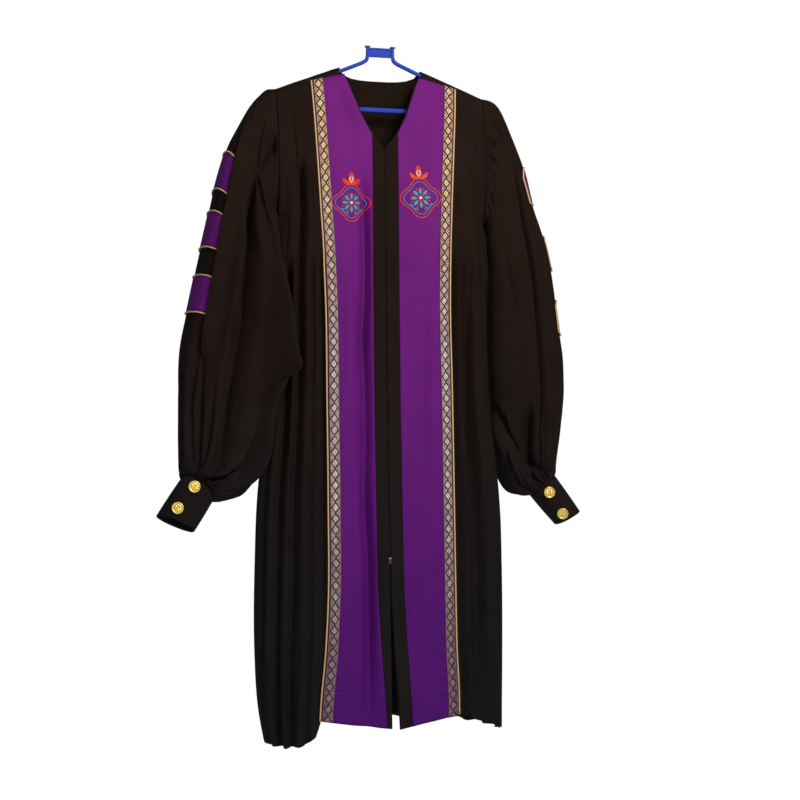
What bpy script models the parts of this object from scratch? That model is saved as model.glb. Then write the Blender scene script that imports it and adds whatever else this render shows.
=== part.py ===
"""A black preaching gown with purple front panels, held on its blue hanger.

The front faces -Y, the wearer's right side lies towards -X and +Z is up, in metres.
The origin is the middle of the underside of the web between the hanger's two posts.
Every cloth piece is a closed wall worked out from rings, rows and tables of folds.
"""
import math

import bmesh
import bpy
import numpy as np

GAP = 0.0003
CLOTH = 0.0013
PANEL = 0.0011
RIBBON = 0.0008
PIPING_RADIUS = 0.0015
BAR_LIFT = 0.0005
BAR_CLOTH = 0.0011
CUFF_CLOTH = 0.0026

SHOULDER_END = 0.211
UNDERARM_Z = -0.330
ARMHOLE_FULL_Z = -0.200
NECK_BOTTOM_Z = -0.186
BACK_YOKE_Z = -0.205
FRONT_YOKE_FADE = 0.120
ZIP_END_Z = -1.000
SECTION_POWER = 2.0 / 2.6
ARMHOLE_SHARE = 0.95
ARMHOLE_EVEN = (-0.260, -0.500)

# Places across a front, from the centre line or back from the piping.
CENTRE_CLEAR = 0.0006
PANEL_START = {-1: 0.0245, 1: 0.0270}
PANEL_FROM_NECK = 0.0030
RIBBON_INNER = 0.0230
RIBBON_OUTER = 0.0030
PANEL_OUTER = 0.0024

# Width of cloth that fold sizes are shares of, and the columns that draw one fold.
FOLD_RUN = 0.150
FOLD_MARKS = (-1.5, -0.65, 0.0, 0.65, 1.5)

SLEEVE_COLUMNS = 40
CUFF_COLUMNS = 24


def table(names, rows):
    """A table as one array a column."""
    values = np.array(rows, float)
    return {name: values[:, i] for i, name in enumerate(names)}


RIDGE = table(("out", "z"), (
    (0.000, -0.0190),
    (0.075, -0.0210),
    (0.100, -0.0300),
    (0.140, -0.0455),
    (0.180, -0.0610),
    (0.211, -0.0735),
    (0.260, -0.0930),
))

# Half depth of the body at a drop below the shoulder ridge.
DEPTH = table(("drop", "front", "back"), (
    (0.000, 0.0000, 0.0000),
    (0.002, 0.0055, 0.0055),
    (0.006, 0.0088, 0.0088),
    (0.012, 0.0115, 0.0118),
    (0.030, 0.0170, 0.0180),
    (0.060, 0.0260, 0.0280),
    (0.100, 0.0345, 0.0390),
    (0.160, 0.0425, 0.0490),
    (0.270, 0.0500, 0.0580),
    (0.430, 0.0580, 0.0660),
    (0.660, 0.0690, 0.0760),
    (0.980, 0.0910, 0.0880),
    (1.180, 0.1050, 0.0960),
    (1.360, 0.1180, 0.1020),
))

BODY_SIDE = table(("z", "right", "left"), (
    (-1.370, 0.2300, 0.2500),
    (-1.290, 0.2440, 0.2520),
    (-1.180, 0.2515, 0.2525),
    (-1.000, 0.2510, 0.2510),
    (-0.860, 0.2450, 0.2450),
    (-0.760, 0.2330, 0.2330),
    (-0.640, 0.2235, 0.2235),
    (-0.480, 0.2200, 0.2200),
    (-0.370, 0.2145, 0.2160),
    (-0.330, 0.2110, 0.2110),
    (0.000, 0.2110, 0.2110),
))

CENTRE_LINE = table(("z", "x"), (
    (-1.370, 0.0160),
    (-1.250, 0.0105),
    (-1.150, 0.0050),
    (-1.050, 0.0010),
    (-0.950, 0.0000),
    (0.000, 0.0000),
))

NECK_EDGE = table(("z", "out"), (
    (-0.186, 0.0000),
    (-0.172, 0.0145),
    (-0.157, 0.0260),
    (-0.130, 0.0430),
    (-0.102, 0.0560),
    (-0.080, 0.0660),
    (-0.040, 0.0850),
    (-0.020, 0.0830),
))

# Drop of the front yoke seam below the shoulder ridge.
YOKE_SEAM = table(("out", "drop"), (
    (0.080, 0.0180),
    (0.100, 0.0155),
    (0.140, 0.0100),
    (0.211, 0.0055),
))

# Distance of the panel's piping from the centre line, one column a side.
PANEL_EDGE = table(("z", "right", "left"), (
    (-1.360, 0.1390, 0.1360),
    (-1.270, 0.1340, 0.1360),
    (-1.170, 0.1260, 0.1330),
    (-1.070, 0.1200, 0.1325),
    (-0.880, 0.1180, 0.1325),
    (-0.685, 0.1178, 0.1325),
    (-0.490, 0.1190, 0.1305),
    (-0.390, 0.1230, 0.1325),
    (-0.290, 0.1292, 0.1360),
    (-0.190, 0.1350, 0.1410),
    (-0.060, 0.1410, 0.1520),
))

# Folds of one front. Columns: name, place at the seam, knee and hem from the piping (0) to
# the side seam (1), height where it starts, depth, half width and lean towards the side.
FRONT_FOLDS = {
    -1: (
        ("beside piping", 0.050, 0.050, 0.050, -0.385, 0.0050, 0.0060, 0.000),
        ("first pleat", 0.190, 0.200, 0.180, -0.385, 0.0100, 0.0075, 0.004),
        ("deep pleat", 0.390, 0.390, 0.370, -0.200, 0.0200, 0.0085, 0.007),
        ("side pleat", 0.600, 0.600, 0.570, -0.400, 0.0220, 0.0110, 0.006),
        ("side roll", 0.820, 0.820, 0.790, -0.430, 0.0090, 0.0130, 0.000),
    ),
    1: (
        ("beside piping", 0.110, 0.120, 0.150, -0.385, 0.0200, 0.0085, -0.006),
        ("second pleat", 0.340, 0.350, 0.360, -0.385, 0.0120, 0.0080, -0.004),
        ("middle roll", 0.560, 0.570, 0.570, -0.420, 0.0080, 0.0110, 0.000),
        ("side pleat", 0.760, 0.770, 0.770, -0.410, 0.0150, 0.0100, -0.004),
    ),
}
FOLD_HEIGHTS = (0.39, 0.85, 1.33)
FOLD_GROWTH = 0.060

# Soft trough down each purple panel: distance from the centre line and depth.
PANEL_TROUGH = {-1: (0.0440, 0.0080), 1: (0.0600, 0.0045)}
TROUGH_HALF_WIDTH = 0.020
TROUGH_SHARE = table(("below", "share"), (
    (0.19, 0.1),
    (0.40, 0.4),
    (0.80, 0.7),
    (1.02, 1.0),
    (1.20, 0.8),
    (1.33, 0.5),
))

# Height of the front hem from the panel's piping (0) to the side seam (1).
FRONT_HEM = table(("along", "right", "left"), (
    (-1.000, -1.3170, -1.3240),
    (0.000, -1.2985, -1.2980),
    (0.060, -1.3300, -1.3000),
    (0.200, -1.3480, -1.3080),
    (0.450, -1.3560, -1.3250),
    (0.750, -1.3560, -1.3420),
    (1.000, -1.3560, -1.3520),
))

BACK_FLUTES = 12
BACK_FLUTE_COLUMNS = 4
BACK_FLUTE_DEPTH = 0.0085
BACK_FLUTE_DRIFT = (0.35, 2.3, 3.0)
BACK_FLUTE_FADE = 0.09
FLUTE_SHARE = table(("below", "share"), (
    (0.205, 0.10),
    (0.235, 0.55),
    (0.400, 0.75),
    (0.900, 1.00),
    (1.360, 1.25),
))
BACK_HEM_MIDDLE_Z = -1.338
BACK_HEM_SIDE_Z = -1.354


def smooth(x, xs, ys):
    """Smooth curve through table values, straight beyond its ends."""
    x = np.asarray(x, float)
    slope = np.gradient(ys, xs)
    i = np.clip(np.searchsorted(xs, x) - 1, 0, len(xs) - 2)
    step = xs[i + 1] - xs[i]
    t = np.clip((x - xs[i]) / step, 0.0, 1.0)
    a = (1 + 2 * t) * (1 - t) ** 2
    b = t * (1 - t) ** 2
    c = t * t * (3 - 2 * t)
    d = t * t * (t - 1)
    return a * ys[i] + b * step * slope[i] + c * ys[i + 1] + d * step * slope[i + 1]


def ramp(x, low, high):
    """Smooth step from 0 at low to 1 at high."""
    t = np.clip((np.asarray(x, float) - low) / (high - low), 0.0, 1.0)
    return t * t * (3 - 2 * t)


def ridge_z(out):
    return np.interp(np.abs(out), RIDGE["out"], RIDGE["z"])


def body_side(side, z):
    return smooth(z, BODY_SIDE["z"], BODY_SIDE["left" if side > 0 else "right"])


def armhole_share(z):
    """Half depth of the armhole edge as a share of the body's: 0 under the arm."""
    t = np.clip((ARMHOLE_FULL_Z - z) / (ARMHOLE_FULL_Z - UNDERARM_Z), 0.0, 1.0)
    return ARMHOLE_SHARE * np.sqrt(np.maximum(1 - t ** 2, 0.0))


def section_shape(angle, z):
    """Quarter section: distance out and depth as shares, squarer beside the armhole."""
    out = np.sin(angle) ** SECTION_POWER
    deep = np.cos(angle) ** SECTION_POWER
    square = ARMHOLE_SHARE * (1 - ramp(-z, 0.20, 0.47))
    near = out ** 24
    share = square * (1 - near) + armhole_share(z) * near
    return out, share + (1 - share) * deep


def section_run(facing, side, z):
    """Angles of a quarter section and the run of cloth from its middle."""
    key = "front" if facing < 0 else "back"
    angle = np.linspace(0.0, 1.0, 120) ** 1.3 * (math.pi / 2)
    out, deep = section_shape(angle, z)
    half_depth = np.interp(ridge_z(0.12) - z, DEPTH["drop"], DEPTH[key])
    steps = np.hypot(np.diff(body_side(side, z) * out), np.diff(half_depth * deep))
    return angle, np.concatenate(([0.0], np.cumsum(steps)))


def body_point(facing, girth, z):
    """Point of the body cloth at a girth from the middle (side signed) and a height."""
    key = "front" if facing < 0 else "back"
    angle, run = section_run(facing, girth, z)
    out, deep = section_shape(np.interp(abs(girth), run, angle), z)
    x = body_side(girth, z) * out
    drop = max(ridge_z(x) - z, 0.0)
    y = np.interp(drop, DEPTH["drop"], DEPTH[key]) * deep
    return x * math.copysign(1.0, girth), facing * max(y, GAP / 2), run[-1]


def girth_of(facing, side, out, z):
    """Girth at which the plain section reaches a distance out."""
    angle, run = section_run(facing, side, z)
    return float(np.interp(out, body_side(side, z) * section_shape(angle, z)[0], run))


def even_girth(facing, side, z):
    """Girth to the side seam, without the quick change where the armhole closes."""
    if ARMHOLE_EVEN[0] > z > ARMHOLE_EVEN[1]:
        high, low = (section_run(facing, side, level)[1][-1] for level in ARMHOLE_EVEN)
        return high + (low - high) * float(ramp(-z, -ARMHOLE_EVEN[0], -ARMHOLE_EVEN[1]))
    return section_run(facing, side, z)[1][-1]


def unit(v):
    return v / np.maximum(np.linalg.norm(v, axis=-1, keepdims=True), 1e-12)


def grid_normals(points, outward, ring=False):
    """Normals of a grid of points, turned to the side of the given direction field."""
    if ring:
        along = np.roll(points, -1, axis=1) - np.roll(points, 1, axis=1)
    else:
        along = np.gradient(points, axis=1)
    normals = unit(np.cross(along, np.gradient(points, axis=0)))
    if np.sum(normals * outward) < 0:
        normals = -normals
    return normals


class Solid:
    """Collects vertices and faces of one closed piece."""

    def __init__(self):
        self.points = []
        self.faces = []

    def add(self, points):
        start = len(self.points)
        self.points.extend(map(tuple, np.asarray(points, float).reshape(-1, 3)))
        return start

    def finish(self, name, made_of):
        mesh = bpy.data.meshes.new(name)
        mesh.from_pydata(self.points, [], self.faces)
        mesh.validate()
        work = bmesh.new()
        work.from_mesh(mesh)
        bmesh.ops.recalc_face_normals(work, faces=work.faces)
        work.to_mesh(mesh)
        work.free()
        mesh.materials.append(made_of)
        piece = bpy.data.objects.new(name, mesh)
        bpy.context.collection.objects.link(piece)
        for polygon in mesh.polygons:
            polygon.use_smooth = True
        return piece


def wall(name, outer, normals, thickness, made_of, ring=False):
    """Closed wall between a grid of points and the same grid moved in by the thickness."""
    rows, columns = outer.shape[:2]
    solid = Solid()
    o = solid.add(outer)
    i = solid.add(outer - normals * thickness)
    last = columns if ring else columns - 1
    for r in range(rows - 1):
        for c in range(last):
            d = (c + 1) % columns
            a, b, e, f = r * columns + c, r * columns + d, (r + 1) * columns + d, (r + 1) * columns + c
            solid.faces += [(o + a, o + b, o + e), (o + a, o + e, o + f)]
            solid.faces += [(i + e, i + b, i + a), (i + f, i + e, i + a)]
    for c in range(last):
        d = (c + 1) % columns
        low = (rows - 1) * columns
        solid.faces.append((o + d, o + c, i + c, i + d))
        solid.faces.append((o + low + c, o + low + d, i + low + d, i + low + c))
    if not ring:
        for r in range(rows - 1):
            a, b = r * columns, (r + 1) * columns
            solid.faces.append((o + a, o + b, i + b, i + a))
            solid.faces.append((o + b + columns - 1, o + a + columns - 1,
                                i + a + columns - 1, i + b + columns - 1))
    return solid.finish(name, made_of)


def patch(name, points, normals, faces, lift, thickness, made_of):
    """Closed wall over chosen faces of a surface, lifted along its normals."""
    solid = Solid()
    top = solid.add(points + normals * (lift + thickness))
    low = solid.add(points + normals * lift)
    edges = {}
    for face in faces:
        solid.faces.append(tuple(top + k for k in face))
        solid.faces.append(tuple(low + k for k in reversed(face)))
        for a, b in zip(face, face[1:] + face[:1]):
            edges[(a, b)] = True
    for a, b in edges:
        if (b, a) not in edges:
            solid.faces.append((top + b, top + a, low + a, low + b))
    return solid.finish(name, made_of)


def tube(name, path, across, up, half_across, half_up, made_of, sides=6, ring=False):
    """Rod along a path with an oval section of the given half sizes."""
    count = len(path)
    solid = Solid()
    turns = [2 * math.pi * (k + 0.5) / sides for k in range(sides)]
    for p, a, u in zip(path, across, up):
        solid.add([p + a * half_across * math.cos(t) + u * half_up * math.sin(t) for t in turns])
    for r in range(count if ring else count - 1):
        s = (r + 1) % count
        for k in range(sides):
            m = (k + 1) % sides
            solid.faces.append((r * sides + k, r * sides + m, s * sides + m, s * sides + k))
    if not ring:
        solid.faces.append(tuple(range(sides))[::-1])
        solid.faces.append(tuple((count - 1) * sides + k for k in range(sides)))
    return solid.finish(name, made_of)


def lathe(name, profile, centre, axis, made_of, sides=12):
    """Turned piece about an axis from (radius, height) rows that start and end on the axis."""
    axis = unit(np.asarray(axis, float))
    side = unit(np.cross(axis, (0.0, 0.0, 1.0)))
    other = np.cross(axis, side)
    solid = Solid()
    first = solid.add(np.asarray(centre) + axis * profile[0][1])
    rings = []
    for radius, height in profile[1:-1]:
        turn = np.arange(sides) * 2 * math.pi / sides
        ring = (np.asarray(centre) + axis * height
                + radius * (np.cos(turn)[:, None] * side + np.sin(turn)[:, None] * other))
        rings.append(solid.add(ring))
    last = solid.add(np.asarray(centre) + axis * profile[-1][1])
    for k in range(sides):
        m = (k + 1) % sides
        solid.faces.append((first, rings[0] + m, rings[0] + k))
        for a, b in zip(rings[:-1], rings[1:]):
            solid.faces.append((a + k, a + m, b + m, b + k))
        solid.faces.append((last, rings[-1] + k, rings[-1] + m))
    return solid.finish(name, made_of)


def material(name, colour, roughness, metallic=0.0):
    made = bpy.data.materials.new(name)
    made.use_nodes = True
    shader = made.node_tree.nodes["Principled BSDF"]
    shader.inputs["Base Color"].default_value = (*colour, 1.0)
    shader.inputs["Roughness"].default_value = roughness
    shader.inputs["Metallic"].default_value = metallic
    made.diffuse_color = (*colour, 1.0)
    return made


for old in list(bpy.data.objects):
    bpy.data.objects.remove(old, do_unlink=True)

BLACK = material("black gown cloth", (0.010, 0.008, 0.0075), 0.85)
PURPLE = material("purple panel cloth", (0.155, 0.012, 0.235), 0.55)
WEAVE = material("gold and purple ribbon", (0.48, 0.31, 0.16), 0.50)
CORD = material("gold piping cord", (0.66, 0.38, 0.09), 0.45)
GOLD = material("gold button metal", (0.78, 0.50, 0.12), 0.30, 1.0)
STEEL = material("zip slider metal", (0.45, 0.42, 0.38), 0.35, 1.0)
TAPE = material("zip tape and teeth", (0.014, 0.012, 0.012), 0.60)
BLUE = material("blue hanger plastic", (0.025, 0.065, 0.45), 0.35)


def ridge_steps():
    return np.concatenate((np.linspace(0, 1, 60) ** 2 * 0.012, np.linspace(0.013, 0.260, 80)))


def run_of_drop(drop, key):
    """Cloth run over the ridge that ends at a drop below it."""
    steps = ridge_steps()
    deep = np.interp(steps, DEPTH["drop"], DEPTH[key])
    length = np.concatenate(([0.0], np.cumsum(np.hypot(np.diff(steps), np.diff(deep)))))
    return float(np.interp(drop, steps, length))


def over_shoulder(x, run):
    """Point of the yoke at a distance out and a run over the ridge (front negative)."""
    key = "front" if run < 0 else "back"
    steps = ridge_steps()
    deep = np.interp(steps, DEPTH["drop"], DEPTH[key])
    length = np.concatenate(([0.0], np.cumsum(np.hypot(np.diff(steps), np.diff(deep)))))
    drop = float(np.interp(abs(run), length, steps))
    z = float(ridge_z(x)) - drop
    angle = math.asin(min((abs(x) / SHOULDER_END) ** (1 / SECTION_POWER), 1.0))
    y = np.interp(drop, DEPTH["drop"], DEPTH[key]) * section_shape(angle, z)[1]
    return x, math.copysign(1.0, run) * y, z


def across_ridge_normal(x, drop, key):
    """Normal of the cloth at a seam that runs across the shoulders."""
    run = run_of_drop(drop, key) * (-1 if key == "front" else 1)
    _, y0, z0 = over_shoulder(x, run - 0.001)
    _, y1, z1 = over_shoulder(x, run + 0.001)
    return unit(np.array([0.0, z0 - z1, y1 - y0]))


# Front pieces.

FRONT_ROWS = (-0.062, -0.090, -0.125, -0.157, -0.187, -0.240, -0.290, -0.318,
              -0.3315, -0.352, -0.388, -0.415, -0.510, -0.680, -0.850, -1.000, -1.160, -1.330)


def fold_at(fold, z):
    """Place, depth and lean of a fold at a height."""
    name, seam, knee, hem, start, depth, half, lean = fold
    place = np.interp(-z, FOLD_HEIGHTS, (seam, knee, hem))
    grown = ramp(-z, -start, -start + FOLD_GROWTH)
    return place, depth * grown, half, lean * grown


def neck_out(z):
    if z <= NECK_BOTTOM_Z:
        return 0.0
    return float(np.interp(z, NECK_EDGE["z"], NECK_EDGE["out"]))


def front_columns(side, z):
    """Girths of the front's columns: centre edge, panel, ribbon, piping, then folds."""
    key = "left" if side > 0 else "right"
    centre = neck_out(z)
    middle = side * float(smooth(z, CENTRE_LINE["z"], CENTRE_LINE["x"]))
    edge = float(smooth(z, PANEL_EDGE["z"], PANEL_EDGE[key]))
    inner = max(centre + PANEL_FROM_NECK, PANEL_START[side] + middle)
    start = (centre if centre > 0 else middle) + CENTRE_CLEAR
    trough = inner + (PANEL_TROUGH[side][0] - PANEL_START[side]) * min(1.0, (edge - inner) / 0.100)
    ribbon_in = edge - RIBBON_INNER
    outs = [start, inner, 0.5 * (inner + trough), trough, trough + (ribbon_in - trough) * 0.35,
            ribbon_in, edge - RIBBON_OUTER, edge - PANEL_OUTER, edge]
    girths = [girth_of(-1, side, out, z) for out in outs]
    total = body_point(-1, side * 1.0, z)[2]
    rest = even_girth(-1, side, z) - girths[-1]
    marks = []
    for fold in FRONT_FOLDS[side]:
        place, depth, half, lean = fold_at(fold, z)
        marks += [place + q * half / FOLD_RUN for q in FOLD_MARKS]
    girths += [girths[-1] + rest * m for m in marks]
    return girths + [0.5 * (girths[-1] + total), total]


def front_shift(side, z, girth, edge_girth, rest):
    """Depth in and sideways lean of the cloth from all folds of one front."""
    along = (girth - edge_girth) / rest
    sink = 0.0
    slide = 0.0
    for fold in FRONT_FOLDS[side]:
        place, depth, half, lean = fold_at(fold, z)
        near = math.exp(-((along - place) * FOLD_RUN / half) ** 2 * 0.9)
        sink += depth * near
        slide += lean * near
    at, deep = PANEL_TROUGH[side]
    wave = math.exp(-((girth - at) / TROUGH_HALF_WIDTH) ** 2)
    sink += deep * wave * float(np.interp(-z, TROUGH_SHARE["below"], TROUGH_SHARE["share"]))
    return sink, slide


def front_seam_z(x):
    drop = np.interp(abs(x), YOKE_SEAM["out"], YOKE_SEAM["drop"])
    return ridge_z(x) - drop


def front_grid(side):
    key = "left" if side > 0 else "right"
    grid = []
    for r, level in enumerate(FRONT_ROWS):
        row = []
        columns = front_columns(side, level)
        edge_girth = columns[8]
        rest = even_girth(-1, side, level) - edge_girth
        for girth in columns:
            x0, y0, total = body_point(-1, side * girth, level)
            top = front_seam_z(x0) - GAP
            share = 1 - ramp(-level, 0.062, 0.062 + FRONT_YOKE_FADE)
            z = level + (top + 0.062) * share
            along = (girth - edge_girth) / (total - edge_girth)
            if along < 0:
                along = along * edge_girth / 0.118
            hem = np.interp(along, FRONT_HEM["along"], FRONT_HEM[key])
            z += (hem + 1.330) * ramp(-z, 1.100, 1.330) ** 2
            x, y, total = body_point(-1, side * girth, z)
            e = 0.0015
            xa, ya, _ = body_point(-1, side * min(girth + e, total), z)
            xb, yb, _ = body_point(-1, side * max(girth - e, 0.0), z)
            tangent = unit(np.array([xa - xb, ya - yb]))
            inward = np.array([-tangent[1], tangent[0]]) * side
            sink, slide = front_shift(side, z, girth, edge_girth, rest)
            flat = np.array([x, y]) + inward * sink + tangent * slide
            row.append((flat[0], flat[1], z))
        grid.append(row)
    return np.array(grid)


def seam_normals(grid, normals, column):
    """Turns the normals of a side edge straight out below the underarm, and flat above it."""
    low = grid[:, column, 2] < UNDERARM_Z + 0.008
    normals[low, column, 1] = 0.0
    normals[~low, column, 0] = 0.0
    normals[:, column] = unit(normals[:, column])
    return normals


def body_outward(grid, facing):
    way = grid * np.array([0.4, 0.0, 0.0])
    way[..., 1] = facing
    return way


fronts = {}
for side, label in ((-1, "right"), (1, "left")):
    grid = front_grid(side)
    normals = seam_normals(grid, grid_normals(grid, body_outward(grid, -1)), -1)
    for column in range(grid.shape[1]):
        x = grid[0, column, 0]
        drop = np.interp(abs(x), YOKE_SEAM["out"], YOKE_SEAM["drop"])
        normals[0, column] = across_ridge_normal(x, drop, "front")
    fronts[side] = (grid, normals)
    wall("front_" + label, grid, normals, CLOTH, BLACK)
    wall("panel_" + label, (grid + normals * (GAP + PANEL))[:, 1:8], normals[:, 1:8], PANEL, PURPLE)
    wall("ribbon_" + label, (grid + normals * (2 * GAP + PANEL + RIBBON))[:, 5:7],
         normals[:, 5:7], RIBBON, WEAVE)
    path = grid[:, 8] + normals[:, 8] * (GAP + PIPING_RADIUS)
    along = unit(np.gradient(path, axis=0))
    tube("panel_piping_" + label, path, np.cross(along, normals[:, 8]), normals[:, 8],
         PIPING_RADIUS, PIPING_RADIUS, CORD)


# Back and yoke.

BACK_ROWS = (BACK_YOKE_Z, -0.235, -0.290, -0.318, -0.3315, -0.370, -0.640, -0.860, -1.090,
             BACK_HEM_MIDDLE_Z)


def back_grid():
    count = BACK_FLUTES * BACK_FLUTE_COLUMNS + 5
    drift, across, down = BACK_FLUTE_DRIFT
    share = np.linspace(-1.0, 1.0, count)
    grid = []
    for level in BACK_ROWS:
        row = []
        for s in share:
            total = even_girth(1, s, level)
            seam = body_point(1, math.copysign(1.0, s), level)[2]
            total += (seam - total) * float(ramp(abs(s), 0.90, 1.0))
            z = level + (BACK_HEM_SIDE_Z - BACK_HEM_MIDDLE_Z) * s * s * ramp(-level, 0.9, 1.338)
            girth = s * total
            x, y, total_here = body_point(1, girth, z)
            e = 0.0015
            xa, ya, _ = body_point(1, max(min(girth + e, total_here), -total_here), z)
            xb, yb, _ = body_point(1, max(min(girth - e, total_here), -total_here), z)
            tangent = unit(np.array([xa - xb, ya - yb]))
            inward = np.array([tangent[1], -tangent[0]])
            if inward[1] > 0 and abs(s) < 0.8:
                inward = -inward
            phase = s * (count - 1) / BACK_FLUTE_COLUMNS * math.pi
            phase += drift * math.sin(across * s + down * z)
            grown = float(np.interp(-z, FLUTE_SHARE["below"], FLUTE_SHARE["share"]))
            fade = float(ramp(1 - abs(s), 0.0, BACK_FLUTE_FADE))
            wave = BACK_FLUTE_DEPTH * grown * fade * (1 - math.cos(phase))
            flat = np.array([x, y]) + inward * wave
            row.append((flat[0], flat[1], z))
        grid.append(row)
    return np.array(grid)


back = back_grid()
back_normals = grid_normals(back, body_outward(back, 1))
for column in (0, -1):
    back_normals = seam_normals(back, back_normals, column)
for column in range(back.shape[1]):
    x = back[0, column, 0]
    back_normals[0, column] = across_ridge_normal(x, float(ridge_z(x)) - BACK_YOKE_Z, "back")
wall("back", back, back_normals, CLOTH, BLACK)


# Upper edge of the yoke from armhole to the middle of the neck: out, and run over the ridge.
YOKE_EDGE = (
    (0.2110, "seam"), (0.1860, "seam"), (0.1600, "seam"), (0.1350, "seam"), (0.1100, "seam"),
    (0.0865, "seam"), (0.0835, -0.009), (0.0825, 0.000), (0.0800, 0.010), (0.0720, 0.021),
    (0.0560, 0.0275), (0.0380, 0.0305), (0.0190, 0.0320), (0.0000, 0.0325),
)


# Runs over the ridge at which the yoke has its rows.
YOKE_RUNS = (-0.0060, 0.0000, 0.0060, 0.0170, 0.0450, 0.1000)
YOKE_STEP = 0.004


def yoke_grid():
    half = []
    count = len(YOKE_EDGE)
    for k, (out, place) in enumerate(YOKE_EDGE):
        if place == "seam":
            drop = float(np.interp(out, YOKE_SEAM["out"], YOKE_SEAM["drop"]))
            start = -run_of_drop(drop, "front")
        else:
            start = place
        low_out = SHOULDER_END * (1 - k / (count - 1))
        low_drop = float(ridge_z(low_out)) - (BACK_YOKE_Z + GAP)
        end = run_of_drop(low_drop, "back")
        runs = [start]
        runs += [max(run, start + YOKE_STEP * (n + 1)) for n, run in enumerate(YOKE_RUNS)]
        runs.append(end)
        half.append([over_shoulder(out + (low_out - out) * (run - start) / (end - start), run)
                     for run in runs])
    half = np.array(half)
    mirrored = half[:-1][::-1] * np.array([-1.0, 1.0, 1.0])
    return np.concatenate((half, mirrored)).transpose(1, 0, 2)


yoke = yoke_grid()
yoke_way = np.zeros_like(yoke)
yoke_way[..., 1] = 0.5
yoke_way[..., 2] = 1.0
yoke_normals = grid_normals(yoke, yoke_way)
for column in (0, -1):
    yoke_normals[:, column, 0] = 0.0
    yoke_normals[:, column] = unit(yoke_normals[:, column])
seams = [k for k, edge in enumerate(YOKE_EDGE) if edge[1] == "seam"]
for column in seams + [-1 - k for k in seams]:
    x = yoke[0, column, 0]
    drop = np.interp(abs(x), YOKE_SEAM["out"], YOKE_SEAM["drop"])
    yoke_normals[0, column] = across_ridge_normal(x, drop, "front")
for column in range(yoke.shape[1]):
    x = yoke[-1, column, 0]
    yoke_normals[-1, column] = across_ridge_normal(x, float(ridge_z(x)) - BACK_YOKE_Z, "back")
wall("yoke", yoke, yoke_normals, CLOTH, BLACK)


# Sleeves, from the armhole (first row) to the cuff seam (last row).

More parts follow.
